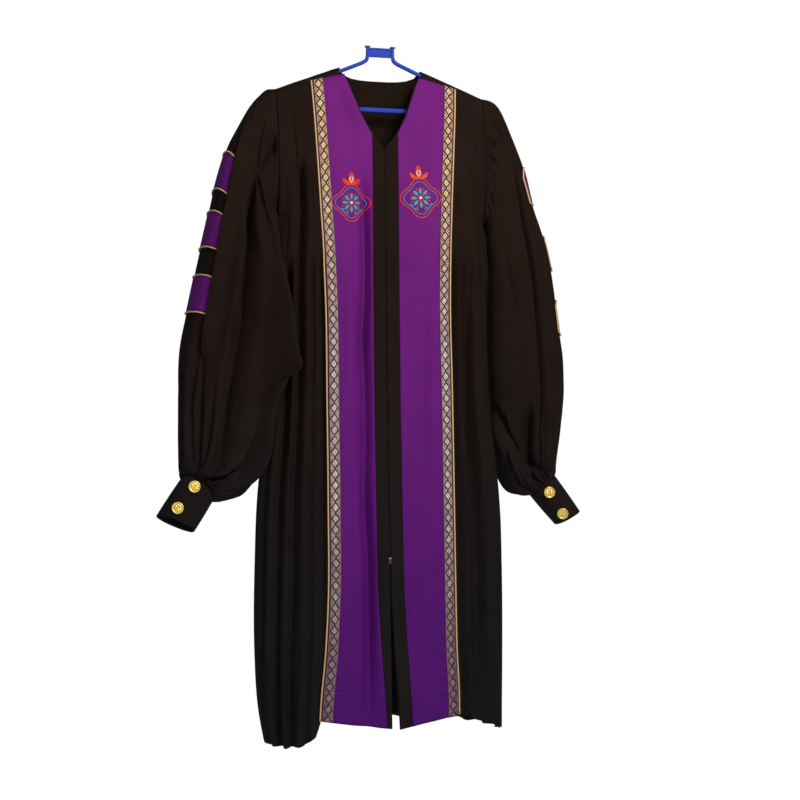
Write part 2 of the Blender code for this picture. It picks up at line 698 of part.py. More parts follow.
SLEEVE_COLUMN_NAMES = ("outer_x", "outer_z", "inner_x", "inner_z", "mid_y", "half_depth", "square",
                       "armhole", "skew", "tilt")
SLEEVE = {
    -1: table(SLEEVE_COLUMN_NAMES, (
        (-0.2113, -0.0735, -0.2113, -0.3300, 0.000, 0.040, 2.2, 1.00, 0.000, 0.000),
        (-0.2320, -0.0790, -0.2150, -0.3345, 0.000, 0.043, 2.2, 0.90, 0.000, 0.000),
        (-0.2560, -0.1080, -0.2175, -0.3440, 0.000, 0.046, 2.3, 0.60, 0.002, 0.000),
        (-0.2780, -0.1530, -0.2195, -0.3570, 0.000, 0.048, 2.5, 0.25, 0.005, 0.000),
        (-0.3030, -0.2140, -0.2212, -0.3750, 0.000, 0.049, 2.8, 0.00, 0.008, 0.000),
        (-0.3215, -0.2810, -0.2230, -0.4040, 0.000, 0.050, 3.0, 0.00, 0.010, 0.000),
        (-0.3315, -0.3260, -0.2240, -0.4290, 0.000, 0.050, 3.0, 0.00, 0.012, 0.000),
        (-0.3455, -0.3910, -0.2260, -0.4700, 0.000, 0.050, 3.0, 0.00, 0.015, 0.000),
        (-0.3575, -0.4480, -0.2270, -0.5080, 0.000, 0.050, 3.0, 0.00, 0.017, 0.000),
        (-0.3720, -0.5150, -0.2280, -0.5550, 0.000, 0.050, 2.9, 0.00, 0.018, 0.000),
        (-0.3900, -0.5880, -0.2310, -0.6250, -0.002, 0.048, 2.8, 0.00, 0.015, 0.000),
        (-0.3980, -0.6650, -0.2390, -0.7080, -0.006, 0.046, 2.6, 0.00, 0.010, 0.000),
        (-0.4000, -0.7400, -0.2520, -0.8060, -0.012, 0.043, 2.5, 0.00, 0.006, 0.000),
        (-0.3985, -0.7880, -0.2750, -0.8640, -0.014, 0.038, 2.4, 0.00, 0.003, 0.004),
        (-0.3965, -0.8190, -0.3070, -0.8780, -0.012, 0.031, 2.3, 0.00, 0.000, 0.011),
        (-0.3928, -0.8331, -0.3343, -0.8797, -0.010, 0.025, 2.2, 0.00, 0.000, 0.016),
    )),
    1: table(SLEEVE_COLUMN_NAMES, (
        (0.2113, -0.0735, 0.2113, -0.3300, 0.000, 0.040, 2.2, 1.00, 0.000, 0.000),
        (0.2300, -0.0780, 0.2150, -0.3345, 0.001, 0.043, 2.2, 0.90, 0.000, 0.000),
        (0.2480, -0.0960, 0.2175, -0.3440, 0.004, 0.046, 2.3, 0.60, 0.002, 0.000),
        (0.2680, -0.1390, 0.2195, -0.3570, 0.008, 0.048, 2.5, 0.25, 0.004, 0.000),
        (0.2990, -0.2140, 0.2215, -0.3750, 0.011, 0.049, 2.8, 0.00, 0.006, 0.000),
        (0.3200, -0.2830, 0.2250, -0.4060, 0.013, 0.050, 3.0, 0.00, 0.006, 0.000),
        (0.3435, -0.3500, 0.2260, -0.4430, 0.014, 0.050, 3.0, 0.00, 0.004, 0.000),
        (0.3600, -0.4180, 0.2265, -0.4880, 0.014, 0.050, 3.0, 0.00, 0.003, 0.000),
        (0.3700, -0.4820, 0.2270, -0.5330, 0.014, 0.050, 3.0, 0.00, 0.003, 0.000),
        (0.3800, -0.5500, 0.2280, -0.5860, 0.015, 0.050, 2.9, 0.00, 0.003, 0.000),
        (0.3890, -0.6050, 0.2310, -0.6400, 0.016, 0.048, 2.8, 0.00, 0.003, 0.000),
        (0.3930, -0.6700, 0.2390, -0.7100, 0.020, 0.046, 2.6, 0.00, 0.003, 0.000),
        (0.3870, -0.7460, 0.2495, -0.8110, 0.024, 0.043, 2.5, 0.00, 0.003, 0.000),
        (0.3785, -0.8020, 0.2710, -0.8680, 0.024, 0.040, 2.4, 0.00, 0.002, 0.002),
        (0.3740, -0.8280, 0.3010, -0.8800, 0.020, 0.038, 2.2, 0.00, 0.000, 0.004),
        (0.3720, -0.8420, 0.3220, -0.8815, 0.016, 0.035, 2.1, 0.00, 0.000, 0.005),
    )),
}

# Folds of a sleeve. Columns: name, place round at its high and low end (0 outer, 0.25 front,
# 0.5 inner, 0.75 back), rows where it starts, is full, holds to and ends, width round,
# and how far it moves the cloth inward to the body and forward.
SLEEVE_FOLDS = {
    -1: (
        ("flap before the body", 0.430, 0.425, 2.4, 9.4, 9.9, 11.0, 0.040, 0.0410, 0.0450),
        ("lower pouch", 0.455, 0.430, 8.5, 11.0, 11.8, 13.6, 0.045, 0.0240, 0.0420),
        ("pouch over the cuff", 0.370, 0.340, 11.5, 13.2, 14.0, 14.9, 0.060, 0.0040, 0.0130),
        ("deep front trough", 0.330, 0.250, 3.0, 5.0, 11.0, 14.5, 0.026, 0.0000, -0.0380),
        ("outer front trough", 0.115, 0.130, 9.2, 10.8, 13.0, 15.0, 0.022, 0.0120, -0.0060),
        ("tuck behind the side", 0.590, 0.590, 1.0, 3.0, 8.0, 10.0, 0.050, 0.0160, 0.0000),
        ("front roll", 0.215, 0.190, 4.0, 8.0, 12.0, 14.5, 0.030, 0.0000, 0.0080),
        ("back trough high", 0.700, 0.720, 3.5, 6.0, 11.0, 14.0, 0.030, 0.0000, 0.0260),
        ("back trough low", 0.850, 0.840, 6.0, 9.0, 12.0, 14.5, 0.024, 0.0080, 0.0160),
    ),
    1: (
        ("pressed groove", 0.200, 0.200, 2.0, 4.5, 13.0, 14.8, 0.021, 0.0000, -0.0150),
        ("outer groove", 0.100, 0.100, 9.4, 11.0, 13.5, 14.8, 0.022, 0.0050, -0.0080),
        ("tuck behind the side", 0.600, 0.600, 1.0, 3.0, 9.0, 11.0, 0.045, 0.0100, 0.0000),
        ("cuff hollow", 0.290, 0.280, 10.8, 12.0, 13.0, 14.4, 0.030, 0.0000, -0.0140),
        ("edge of the pouch", 0.430, 0.300, 10.6, 12.0, 13.4, 14.8, 0.030, 0.0000, 0.0110),
        ("front roll", 0.260, 0.250, 3.0, 6.0, 10.0, 12.0, 0.040, 0.0000, 0.0050),
        ("inner back pouch", 0.560, 0.560, 4.0, 8.0, 12.0, 14.0, 0.045, 0.0050, -0.0120),
        ("back trough high", 0.700, 0.720, 3.5, 6.0, 11.0, 14.0, 0.030, 0.0000, 0.0280),
        ("back trough low", 0.860, 0.850, 6.0, 9.0, 12.0, 14.5, 0.024, 0.0080, 0.0160),
    ),
}
HEAD_GATHER = 0.0024
CUFF_GATHER = 0.0026
SLEEVE_HEAD_ROWS = (0.0, 1.0, 2.0, 3.2)
SLEEVE_CUFF_ROWS = (12.0, 13.4, 14.4, 15.0)

# Sleeve bars: top row and bottom row of each on the sleeve.
BARS = (("upper", 4, 5), ("middle", 6, 7), ("lower", 8, 9))
BAR_REACH = 4
# Columns that the bars of a sleeve sit behind its outer edge.
BAR_BEHIND = {-1: 0, 1: 1}


def armhole_ring(around):
    """Armhole outline: height share from -1 (under arm) to 1 (shoulder) and depth."""
    z = np.linspace(-0.0735, UNDERARM_Z, 160)
    rows = []
    for key, facing in (("front", -1), ("back", 1)):
        drop = ridge_z(SHOULDER_END) - z
        y = facing * np.interp(drop, DEPTH["drop"], DEPTH[key]) * armhole_share(z)
        rows.append(np.stack([z, y], axis=-1))
    loop = np.concatenate((rows[0], rows[1][::-1][1:]))
    run = np.concatenate(([0.0], np.cumsum(np.linalg.norm(np.diff(loop, axis=0), axis=1))))
    z = np.interp(around * run[-1], run, loop[:, 0])
    y = np.interp(around * run[-1], run, loop[:, 1])
    middle = (-0.0735 + UNDERARM_Z) / 2
    return (z - middle) / (-0.0735 - middle), y


def oval_ring(around, half_width, half_depth, square):
    """Evenly spaced points of a squared oval, 0 at the outer end, then front, inner, back."""
    turn = np.linspace(0, 2 * math.pi, 361)
    power = 2.0 / square
    u = np.sign(np.cos(turn)) * np.abs(np.cos(turn)) ** power
    v = np.sign(np.sin(turn)) * np.abs(np.sin(turn)) ** power
    run = np.concatenate(([0.0], np.cumsum(np.hypot(np.diff(u) * half_width, np.diff(v) * half_depth))))
    return np.interp(around * run[-1], run, u), np.interp(around * run[-1], run, v)


def sleeve_grid(side, rows=None, columns=SLEEVE_COLUMNS):
    data = SLEEVE[side]
    index = np.arange(len(data["outer_x"]), dtype=float)
    rows = index if rows is None else np.asarray(rows, float)
    around = np.arange(columns) / columns
    grid = []
    for row in rows:
        value = {name: float(smooth(row, index, data[name])) for name in data}
        outer = np.array([value["outer_x"], value["outer_z"]])
        inner = np.array([value["inner_x"], value["inner_z"]])
        centre = (outer + inner) / 2
        half_width = np.linalg.norm(outer - inner) / 2
        way = (outer - inner) / (2 * half_width)
        u, v = oval_ring(around, half_width, value["half_depth"], value["square"])
        hole_u, hole_y = armhole_ring(around)
        mix = value["armhole"]
        u = u * (1 - mix) + hole_u * mix
        y = (value["mid_y"] - value["half_depth"] * v) * (1 - mix) + hole_y * mix
        down = np.array([way[1], -way[0]]) * side
        x = centre[0] + way[0] * half_width * u
        z = centre[1] + way[1] * half_width * u
        front = np.clip((value["mid_y"] - y) / value["half_depth"], -1.2, 1.2)
        x = x - side * value["skew"] * front - down[0] * value["tilt"] * front
        z = z - down[1] * value["tilt"] * front
        for name, high, low, start, full, hold, end, width, inward, forward in SLEEVE_FOLDS[side]:
            place = high + (low - high) * np.clip((row - start) / (end - start), 0, 1)
            away = np.abs(around - place)
            away = np.minimum(away, 1 - away)
            amount = float(ramp(row, start, full) * (1 - ramp(row, hold, end)))
            near = amount * np.exp(-(away / width) ** 2)
            x = x - side * inward * near
            y = y - forward * near
        gather = HEAD_GATHER * float(np.interp(row, SLEEVE_HEAD_ROWS, (0.35, 1.0, 0.6, 0.0)))
        gather += CUFF_GATHER * float(np.interp(row, SLEEVE_CUFF_ROWS, (0.0, 0.7, 1.0, 0.0)))
        ripple = np.cos(around * math.pi * SLEEVE_COLUMNS) * gather
        middle_y = value["mid_y"]
        away = np.stack([x - centre[0], y - middle_y, z - centre[1]], axis=-1)
        point = np.stack([x, y, z], axis=-1) + unit(away) * ripple[:, None]
        grid.append(point)
    return np.array(grid)


def ring_outward(grid):
    return grid - grid.mean(axis=1, keepdims=True)


CUFF_COLUMN_NAMES = ("outer_x", "outer_z", "inner_x", "inner_z", "mid_y", "half_depth", "tilt")
CUFF = {
    -1: table(CUFF_COLUMN_NAMES, (
        (-0.3932, -0.8339, -0.3343, -0.8807, -0.010, 0.0260, 0.016),
        (-0.4418, -0.9068, -0.3700, -0.9396, -0.012, 0.0280, 0.008),
    )),
    1: table(CUFF_COLUMN_NAMES, (
        (0.3724, -0.8425, 0.3218, -0.8822, 0.016, 0.0360, 0.005),
        (0.4225, -0.9145, 0.3745, -0.9420, 0.010, 0.0380, 0.004),
    )),
}


def cuff_grid(side):
    data = CUFF[side]
    around = np.arange(CUFF_COLUMNS) / CUFF_COLUMNS
    grid = []
    for t in (0.0, 0.5, 1.0):
        value = {name: data[name][0] + (data[name][1] - data[name][0]) * t for name in data}
        outer = np.array([value["outer_x"], value["outer_z"]])
        inner = np.array([value["inner_x"], value["inner_z"]])
        centre = (outer + inner) / 2
        half_width = np.linalg.norm(outer - inner) / 2
        way = (outer - inner) / (2 * half_width)
        u, v = oval_ring(around, half_width, value["half_depth"], 2.3)
        down = np.array([way[1], -way[0]]) * side
        x = centre[0] + way[0] * half_width * u - down[0] * value["tilt"] * v
        z = centre[1] + way[1] * half_width * u - down[1] * value["tilt"] * v
        y = value["mid_y"] - value["half_depth"] * v
        grid.append(np.stack([x, y, z], axis=-1))
    return np.array(grid)


BUTTON_RADIUS = 0.0115
BUTTON_LIFT = 0.0009
# Radius and height of a button from the middle of its back to the middle of its face.
BUTTON_PROFILE = (
    (0.0, 0.0),
    (0.0095, 0.0),
    (BUTTON_RADIUS, 0.0012),
    (BUTTON_RADIUS, 0.0030),
    (0.0100, 0.0040),
    (0.0085, 0.0030),
    (0.0, 0.0034),
)

# Buttons of a cuff: name, share round from its outer end and share down it.
BUTTONS = {
    -1: (("upper", 0.200, 0.175), ("lower", 0.185, 0.745)),
    1: (("upper", 0.275, 0.175), ("lower", 0.300, 0.790)),
}


def at_grid(grid, around, down):
    """Point of a ring grid at a share round and a share down."""
    rows, columns = grid.shape[:2]
    r = min(int(down * (rows - 1)), rows - 2)
    c = int(around * columns)
    fr = down * (rows - 1) - r
    fc = around * columns - c
    a = grid[r, c % columns] * (1 - fc) + grid[r, (c + 1) % columns] * fc
    b = grid[r + 1, c % columns] * (1 - fc) + grid[r + 1, (c + 1) % columns] * fc
    return a * (1 - fr) + b * fr


for side, label in ((-1, "right"), (1, "left")):
    grid = sleeve_grid(side)
    normals = grid_normals(grid, ring_outward(grid), ring=True)
    normals[0, :, 0] = 0.0
    normals[0] = unit(normals[0])
    axis = unit(grid[-1].mean(axis=0) - cuff_grid(side)[-1].mean(axis=0))
    away = grid[-1] - grid[-1].mean(axis=0)
    normals[-1] = unit(away - np.outer(away @ axis, axis))
    wall("sleeve_" + label, grid, normals, CLOTH, BLACK, ring=True)
    for bar, top, low in BARS:
        columns = [c - BAR_BEHIND[side] for c in range(-BAR_REACH, BAR_REACH + 1)]
        points = []
        normal = []
        for c in columns:
            shares = (0.12, 0.88) if c in (columns[0], columns[-1]) else (0.0, 1.0)
            for t in shares:
                points.append(grid[top, c] * (1 - t) + grid[low, c] * t)
                normal.append(unit(normals[top, c] * (1 - t) + normals[low, c] * t))
        points, normal = np.array(points), np.array(normal)
        count = len(columns)
        faces = [(2 * k, 2 * k + 2, 2 * k + 3) for k in range(count - 1)]
        faces += [(2 * k, 2 * k + 3, 2 * k + 1) for k in range(count - 1)]
        patch("bar_%s_%s" % (bar, label), points, normal, faces, BAR_LIFT, BAR_CLOTH, PURPLE)
        loop = [2 * k for k in range(count)] + [2 * k + 1 for k in reversed(range(count))]
        rim = points[loop]
        up = normal[loop]
        along = unit(np.roll(rim, -1, axis=0) - np.roll(rim, 1, axis=0))
        out = unit(np.cross(along, up))
        if np.sum(out * (rim - rim.mean(axis=0))) < 0:
            out = -out
        path = rim + out * (PIPING_RADIUS + GAP) + up * (PIPING_RADIUS + BAR_LIFT + GAP)
        tube("bar_piping_%s_%s" % (bar, label), path, out, up, PIPING_RADIUS, PIPING_RADIUS,
             CORD, sides=4, ring=True)
    cuff = cuff_grid(side)
    cuff_normals = grid_normals(cuff, ring_outward(cuff), ring=True)
    wall("cuff_" + label, cuff, cuff_normals, CUFF_CLOTH, BLACK, ring=True)
    for name, around, down in BUTTONS[side]:
        spot = at_grid(cuff, around, down)
        way = unit(at_grid(cuff_normals, around, down))
        lathe("button_%s_%s" % (name, label), BUTTON_PROFILE, spot + way * BUTTON_LIFT, way, GOLD)


# Zip.

ZIP_ROWS = slice(FRONT_ROWS.index(-0.187) + 1, FRONT_ROWS.index(ZIP_END_Z) + 1)
ZIP_TAPE = 0.0012
ZIP_REACH = 0.5


def zip_strip(depth):
    """Four columns behind the two front edges at a depth under their outer faces."""
    columns = []
    for side, reach in ((-1, ZIP_REACH), (-1, 0.0), (1, 0.0), (1, ZIP_REACH)):
        grid, normals = fronts[side]
        inner = grid - normals * depth
        columns.append((inner[:, 0] * (1 - reach) + inner[:, 1] * reach)[ZIP_ROWS])
    return np.stack(columns, axis=1)


face = zip_strip(CLOTH + GAP)
rear = zip_strip(CLOTH + GAP + ZIP_TAPE)
zip_ring = np.concatenate((face, rear[:, ::-1]), axis=1)
count = len(zip_ring)
tape = Solid()
tape.add(zip_ring)
for r in range(count - 1):
    for k in range(8):
        m = (k + 1) % 8
        a, b, e, f = r * 8 + k, r * 8 + m, (r + 1) * 8 + m, (r + 1) * 8 + k
        tape.faces += [(a, b, e), (a, e, f)] if k < 4 else [(a, b, f), (b, e, f)]
for end in (0, (count - 1) * 8):
    for k in range(3):
        tape.faces.append((end + k, end + k + 1, end + 6 - k, end + 7 - k))
tape.finish("zip", TAPE)


def centre_at(z):
    """Middle of the outer faces of the two front edges at a height."""
    edge = (fronts[-1][0][:, 0] + fronts[1][0][:, 0]) / 2
    order = np.argsort(edge[:, 2])
    return np.array([np.interp(z, edge[order, 2], edge[order, axis]) for axis in range(3)])


spot = centre_at(ZIP_END_Z + 0.004)
SLIDER = table(("up", "half_width", "front"), (
    (-0.0060, 0.0022, 0.0010),
    (-0.0045, 0.0030, 0.0024),
    (0.0030, 0.0036, 0.0026),
    (0.0055, 0.0028, 0.0012),
))
slider = Solid()
for high, half, face in zip(SLIDER["up"], SLIDER["half_width"], SLIDER["front"]):
    p = spot + np.array([0.0, -GAP - 0.0004, high])
    slider.add([p + (-half, 0, 0), p + (-half * 0.6, -face, 0), p + (half * 0.6, -face, 0), p + (half, 0, 0)])
for r in range(3):
    for k in range(4):
        m = (k + 1) % 4
        slider.faces.append((r * 4 + k, r * 4 + m, (r + 1) * 4 + m, (r + 1) * 4 + k))
slider.faces.append((3, 2, 1, 0))
slider.faces.append((12, 13, 14, 15))
slider.finish("zip_slider", STEEL)


# Hanger.

HANGER = table(("x", "z", "half_high", "half_deep"), (
    (0.0255, 0.0202, 0.0030, 0.0034),
    (0.0255, 0.0013, 0.0034, 0.0036),
    (0.0275, -0.0070, 0.0038, 0.0038),
    (0.0360, -0.0125, 0.0037, 0.0038),
    (0.0850, -0.0335, 0.0036, 0.0040),
    (0.1450, -0.0595, 0.0036, 0.0042),
    (0.1900, -0.0785, 0.0036, 0.0042),
    (0.2030, -0.0860, 0.0037, 0.0042),
    (0.2055, -0.0950, 0.0038, 0.0042),
    (0.1980, -0.1035, 0.0041, 0.0042),
    (0.1850, -0.1060, 0.0045, 0.0042),
    (0.0900, -0.1060, 0.0047, 0.0042),
    (0.0000, -0.1060, 0.0047, 0.0042),
))


def hanger_path():
    x = np.concatenate((HANGER["x"], -HANGER["x"][:-1][::-1]))
    z = np.concatenate((HANGER["z"], HANGER["z"][:-1][::-1]))
    high = np.concatenate((HANGER["half_high"], HANGER["half_high"][:-1][::-1]))
    deep = np.concatenate((HANGER["half_deep"], HANGER["half_deep"][:-1][::-1]))
    return np.stack([x, np.zeros_like(x), z], axis=-1), high, deep


def rounded_bar(name, path, high, deep, made_of, sides=8):
    along = unit(np.gradient(path, axis=0))
    across = np.cross(along, (0.0, 1.0, 0.0))
    solid = Solid()
    count = len(path)
    for p, a, h, d in zip(path, across, high, deep):
        for k in range(sides):
            turn = 2 * math.pi * (k + 0.5) / sides
            c, s = math.cos(turn), math.sin(turn)
            c = math.copysign(abs(c) ** 0.6, c)
            s = math.copysign(abs(s) ** 0.6, s)
            solid.add([p + a * h * c + np.array([0.0, d * s, 0.0])])
    for r in range(count - 1):
        for k in range(sides):
            m = (k + 1) % sides
            solid.faces.append((r * sides + k, r * sides + m, (r + 1) * sides + m, (r + 1) * sides + k))
    solid.faces.append(tuple(range(sides))[::-1])
    solid.faces.append(tuple((count - 1) * sides + k for k in range(sides)))
    return solid.finish(name, made_of)


def block(name, low, high, made_of):
    solid = Solid()
    solid.add([(x, y, z) for z in (low[2], high[2]) for y in (low[1], high[1]) for x in (low[0], high[0])])
    solid.faces += [(0, 2, 3, 1), (4, 5, 7, 6), (0, 1, 5, 4), (1, 3, 7, 5), (3, 2, 6, 7), (2, 0, 4, 6)]
    return solid.finish(name, made_of)


points, high, deep = hanger_path()
hanger = rounded_bar("hanger", points, high, deep, BLUE)
# Head of the hanger: name, then low and high x, y and z of each block.
HEAD_BLOCKS = (
    ("web", -0.0255, 0.0255, -0.0011, 0.0011, 0.0015, 0.0170),
    ("web_top_rib", -0.0251, 0.0251, -0.0026, 0.0026, 0.0150, 0.0182),
    ("web_low_rib", -0.0247, 0.0247, -0.0024, 0.0024, 0.0000, 0.0032),
    ("post_cap_right", -0.0305, -0.0205, -0.0046, 0.0046, 0.0190, 0.0215),
    ("post_cap_left", 0.0205, 0.0305, -0.0046, 0.0046, 0.0190, 0.0215),
)
for name, x0, x1, y0, y1, z0, z1 in HEAD_BLOCKS:
    cutter = block(name, (x0, y0, z0), (x1, y1, z1), BLUE)
    cutter.hide_render = True
    cutter.display_type = "WIRE"
    join = hanger.modifiers.new(name, "BOOLEAN")
    join.operation = "UNION"
    join.solver = "EXACT"
    join.object = cutter
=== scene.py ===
"""A black preaching gown with purple front panels, as it hangs on its blue hanger.

Every cloth piece is a surface of two parameters, worked out as whole arrays from the same
section tables and fold tables as the construction, on a finer grid, with the small creases added.
Lengths are metres, the front faces -Y and +Z is up.
"""

import math

import bmesh
import bpy
import numpy as np
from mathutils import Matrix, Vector


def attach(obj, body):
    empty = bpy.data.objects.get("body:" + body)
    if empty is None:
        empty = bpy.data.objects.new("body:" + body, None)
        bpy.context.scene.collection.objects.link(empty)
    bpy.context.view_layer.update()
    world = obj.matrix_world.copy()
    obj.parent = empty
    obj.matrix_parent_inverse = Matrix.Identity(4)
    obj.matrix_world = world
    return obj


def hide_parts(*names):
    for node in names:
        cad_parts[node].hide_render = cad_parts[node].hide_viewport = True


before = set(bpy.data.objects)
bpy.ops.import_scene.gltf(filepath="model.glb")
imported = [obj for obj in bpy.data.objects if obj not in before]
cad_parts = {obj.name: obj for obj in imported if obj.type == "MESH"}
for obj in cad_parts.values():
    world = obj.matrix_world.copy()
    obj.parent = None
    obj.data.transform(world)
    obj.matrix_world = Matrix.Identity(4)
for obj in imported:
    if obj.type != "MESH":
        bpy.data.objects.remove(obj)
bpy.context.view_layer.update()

# Millimetres in a metre.
MM = 1000.0
# Clearance between laid pieces, thickness of black cloth, panel and ribbon, and the cord.
GAP = 0.0003
CLOTH = 0.0013
PANEL = 0.0011
RIBBON = 0.0008
PIPING_RADIUS = 0.0015
# Ends of the shoulder, the armhole and the neck, and the seam of yoke and back.
SHOULDER_END = 0.211
SHOULDER_Z = -0.0735
UNDERARM_Z = -0.330
ARMHOLE_FULL_Z = -0.200
NECK_BOTTOM_Z = -0.186
BACK_YOKE_Z = -0.205
# The body's section: its power as a squared oval, half depth at the armhole as a share, drops
# over which that share fades, and heights between which the side seam's run is evened out.
SECTION_POWER = 2.0 / 2.6
ARMHOLE_SHARE = 0.95
SQUARE_FADE = (0.20, 0.47)
ARMHOLE_EVEN = (-0.260, -0.500)
# Run of cloth across which the folds of a front are laid out, and the zip's lower end.
FOLD_RUN = 0.150
ZIP_END_Z = -1.000
# Step along the cloth at which a surface's own tangent is taken.
RUN_STEP = 0.0015
# Power of the distance out by which the section turns from squared to the armhole's depth.
SIDE_POWER = 24


def table(names, rows):
    """A table as one array a column."""
    values = np.array(rows, float)
    return {name: values[:, i] for i, name in enumerate(names)}


RIDGE = table(("out", "z"), (
    (0.000, -0.0190), (0.075, -0.0210), (0.100, -0.0300), (0.140, -0.0455),
    (0.180, -0.0610), (0.211, -0.0735), (0.260, -0.0930),
))

# Half depth of the body at a drop below the shoulder ridge.
DEPTH = table(("drop", "front", "back"), (
    (0.000, 0.0000, 0.0000), (0.002, 0.0055, 0.0055), (0.006, 0.0088, 0.0088),
    (0.012, 0.0115, 0.0118), (0.030, 0.0170, 0.0180), (0.060, 0.0260, 0.0280),
    (0.100, 0.0345, 0.0390), (0.160, 0.0425, 0.0490), (0.270, 0.0500, 0.0580),
    (0.430, 0.0580, 0.0660), (0.660, 0.0690, 0.0760), (0.980, 0.0910, 0.0880),
    (1.180, 0.1050, 0.0960), (1.360, 0.1180, 0.1020),
))

BODY_SIDE = table(("z", "right", "left"), (
    (-1.370, 0.2300, 0.2500), (-1.290, 0.2440, 0.2520), (-1.180, 0.2515, 0.2525),
    (-1.000, 0.2510, 0.2510), (-0.860, 0.2450, 0.2450), (-0.760, 0.2330, 0.2330),
    (-0.640, 0.2235, 0.2235), (-0.480, 0.2200, 0.2200), (-0.370, 0.2145, 0.2160),
    (-0.330, 0.2110, 0.2110), (0.000, 0.2110, 0.2110),
))

CENTRE_LINE = table(("z", "x"), (
    (-1.370, 0.0160), (-1.250, 0.0105), (-1.150, 0.0050), (-1.050, 0.0010),
    (-0.950, 0.0000), (0.000, 0.0000),
))

NECK_EDGE = table(("z", "out"), (
    (-0.186, 0.0000), (-0.172, 0.0145), (-0.157, 0.0260), (-0.130, 0.0430),
    (-0.102, 0.0560), (-0.080, 0.0660), (-0.040, 0.0850), (-0.020, 0.0830),
))

# Drop of the front yoke seam below the shoulder ridge.
YOKE_SEAM = table(("out", "drop"), (
    (0.080, 0.0180), (0.100, 0.0155), (0.140, 0.0100), (0.211, 0.0055),
))

# Distance of the panel's piping from the centre line.
PANEL_EDGE = table(("z", "right", "left"), (
    (-1.360, 0.1390, 0.1360), (-1.270, 0.1340, 0.1360), (-1.170, 0.1260, 0.1330),
    (-1.070, 0.1200, 0.1325), (-0.880, 0.1180, 0.1325), (-0.685, 0.1178, 0.1325),
    (-0.490, 0.1190, 0.1305), (-0.390, 0.1230, 0.1325), (-0.290, 0.1292, 0.1360),
    (-0.190, 0.1350, 0.1410), (-0.060, 0.1410, 0.1520),
))
# From the centre line: its clearance and the panel's start by side, never nearer to the neck
# edge than the next; then in from the piping: both edges of the ribbon and the panel's edge.
CENTRE_CLEAR = 0.0006
PANEL_START = {-1: 0.0245, 1: 0.0270}
PANEL_FROM_NECK = 0.0030
RIBBON_INNER = 0.0230
RIBBON_OUTER = 0.0030
PANEL_OUTER = 0.0024

# Folds of a front. Columns: place at the seam, knee and hem from the piping (0) to the side
# seam (1), height where it starts, depth, half width and lean towards the side.
FRONT_FOLDS = {
    -1: (
        (0.050, 0.050, 0.050, -0.385, 0.0050, 0.0060, 0.000),
        (0.190, 0.200, 0.180, -0.385, 0.0100, 0.0075, 0.004),
        (0.390, 0.390, 0.370, -0.200, 0.0200, 0.0085, 0.007),
        (0.600, 0.600, 0.570, -0.400, 0.0220, 0.0110, 0.006),
        (0.820, 0.820, 0.790, -0.430, 0.0090, 0.0130, 0.000),
    ),
    1: (
        (0.110, 0.120, 0.150, -0.385, 0.0200, 0.0085, -0.006),
        (0.340, 0.350, 0.360, -0.385, 0.0120, 0.0080, -0.004),
        (0.560, 0.570, 0.570, -0.420, 0.0080, 0.0110, 0.000),
        (0.760, 0.770, 0.770, -0.410, 0.0150, 0.0100, -0.004),
    ),
}
FOLD_HEIGHTS = (0.39, 0.85, 1.33)
FOLD_GROWTH = 0.060
# One wide trough in each panel: run from the centre line and depth, half width and its share.
PANEL_TROUGH = {-1: (0.0440, 0.0080), 1: (0.0600, 0.0045)}
TROUGH_HALF_WIDTH = 0.020
TROUGH_SHARE = table(("below", "share"), (
    (0.19, 0.1), (0.40, 0.4), (0.80, 0.7), (1.02, 1.0), (1.20, 0.8), (1.33, 0.5),
))
# Levels of a front's first and last row, and the drops over which its seam and hem take hold.
FRONT_YOKE_FADE = 0.120
FRONT_TOP = 0.062
FRONT_LOW = 1.330
HEM_START = 1.100

# Height of the front hem from the panel's piping (0) to the side seam (1).
FRONT_HEM = table(("along", "right", "left"), (
    (-1.000, -1.3170, -1.3240), (0.000, -1.2985, -1.2980), (0.060, -1.3300, -1.3000),
    (0.200, -1.3480, -1.3080), (0.450, -1.3560, -1.3250), (0.750, -1.3560, -1.3420),
    (1.000, -1.3560, -1.3520),
))

# Flutes of the back, its hem, where the hem starts to bow and the share of the width from
# which the columns close up to the side seam, and how rows crowd towards the yoke.
BACK_FLUTES = 12
BACK_FLUTE_DEPTH = 0.0085
BACK_HEM_MIDDLE_Z = -1.338
BACK_HEM_SIDE_Z = -1.354
BACK_BOW_START = 0.900
BACK_EVEN_SHARE = 0.90
BACK_CROWDING = 1.15
# How far the flutes wander in phase and in place, the turns of both waves across the back and
# down it, and the share at the side seams without any flutes.
FLUTE_WANDER = 0.35
WANDER_ACROSS = 2.3
WANDER_DOWN = 3.0
FLUTE_DRIFT = 0.02
DRIFT_DOWN = 5.0
FLUTE_FADE = 0.09
FLUTE_SHARE = table(("below", "share"), (
    (0.205, 0.10), (0.235, 0.55), (0.400, 0.75), (0.900, 1.00), (1.360, 1.25),
))


def smooth(x, xs, ys):
    """Hermite curve through table values with the table's own slopes, held at its ends."""
    x = np.asarray(x, float)
    slope = np.gradient(ys, xs)
    i = np.clip(np.searchsorted(xs, x) - 1, 0, len(xs) - 2)
    step = xs[i + 1] - xs[i]
    t = np.clip((x - xs[i]) / step, 0.0, 1.0)
    a = (1 + 2 * t) * (1 - t) ** 2
    b = t * (1 - t) ** 2
    c = t * t * (3 - 2 * t)
    d = t * t * (t - 1)
    return a * ys[i] + b * step * slope[i] + c * ys[i + 1] + d * step * slope[i + 1]


def ramp(x, low, high):
    """Smooth step from 0 at low to 1 at high."""
    t = np.clip((np.asarray(x, float) - low) / (high - low), 0.0, 1.0)
    return t * t * (3 - 2 * t)


def unit(v):
    return v / np.maximum(np.linalg.norm(v, axis=-1, keepdims=True), 1e-12)


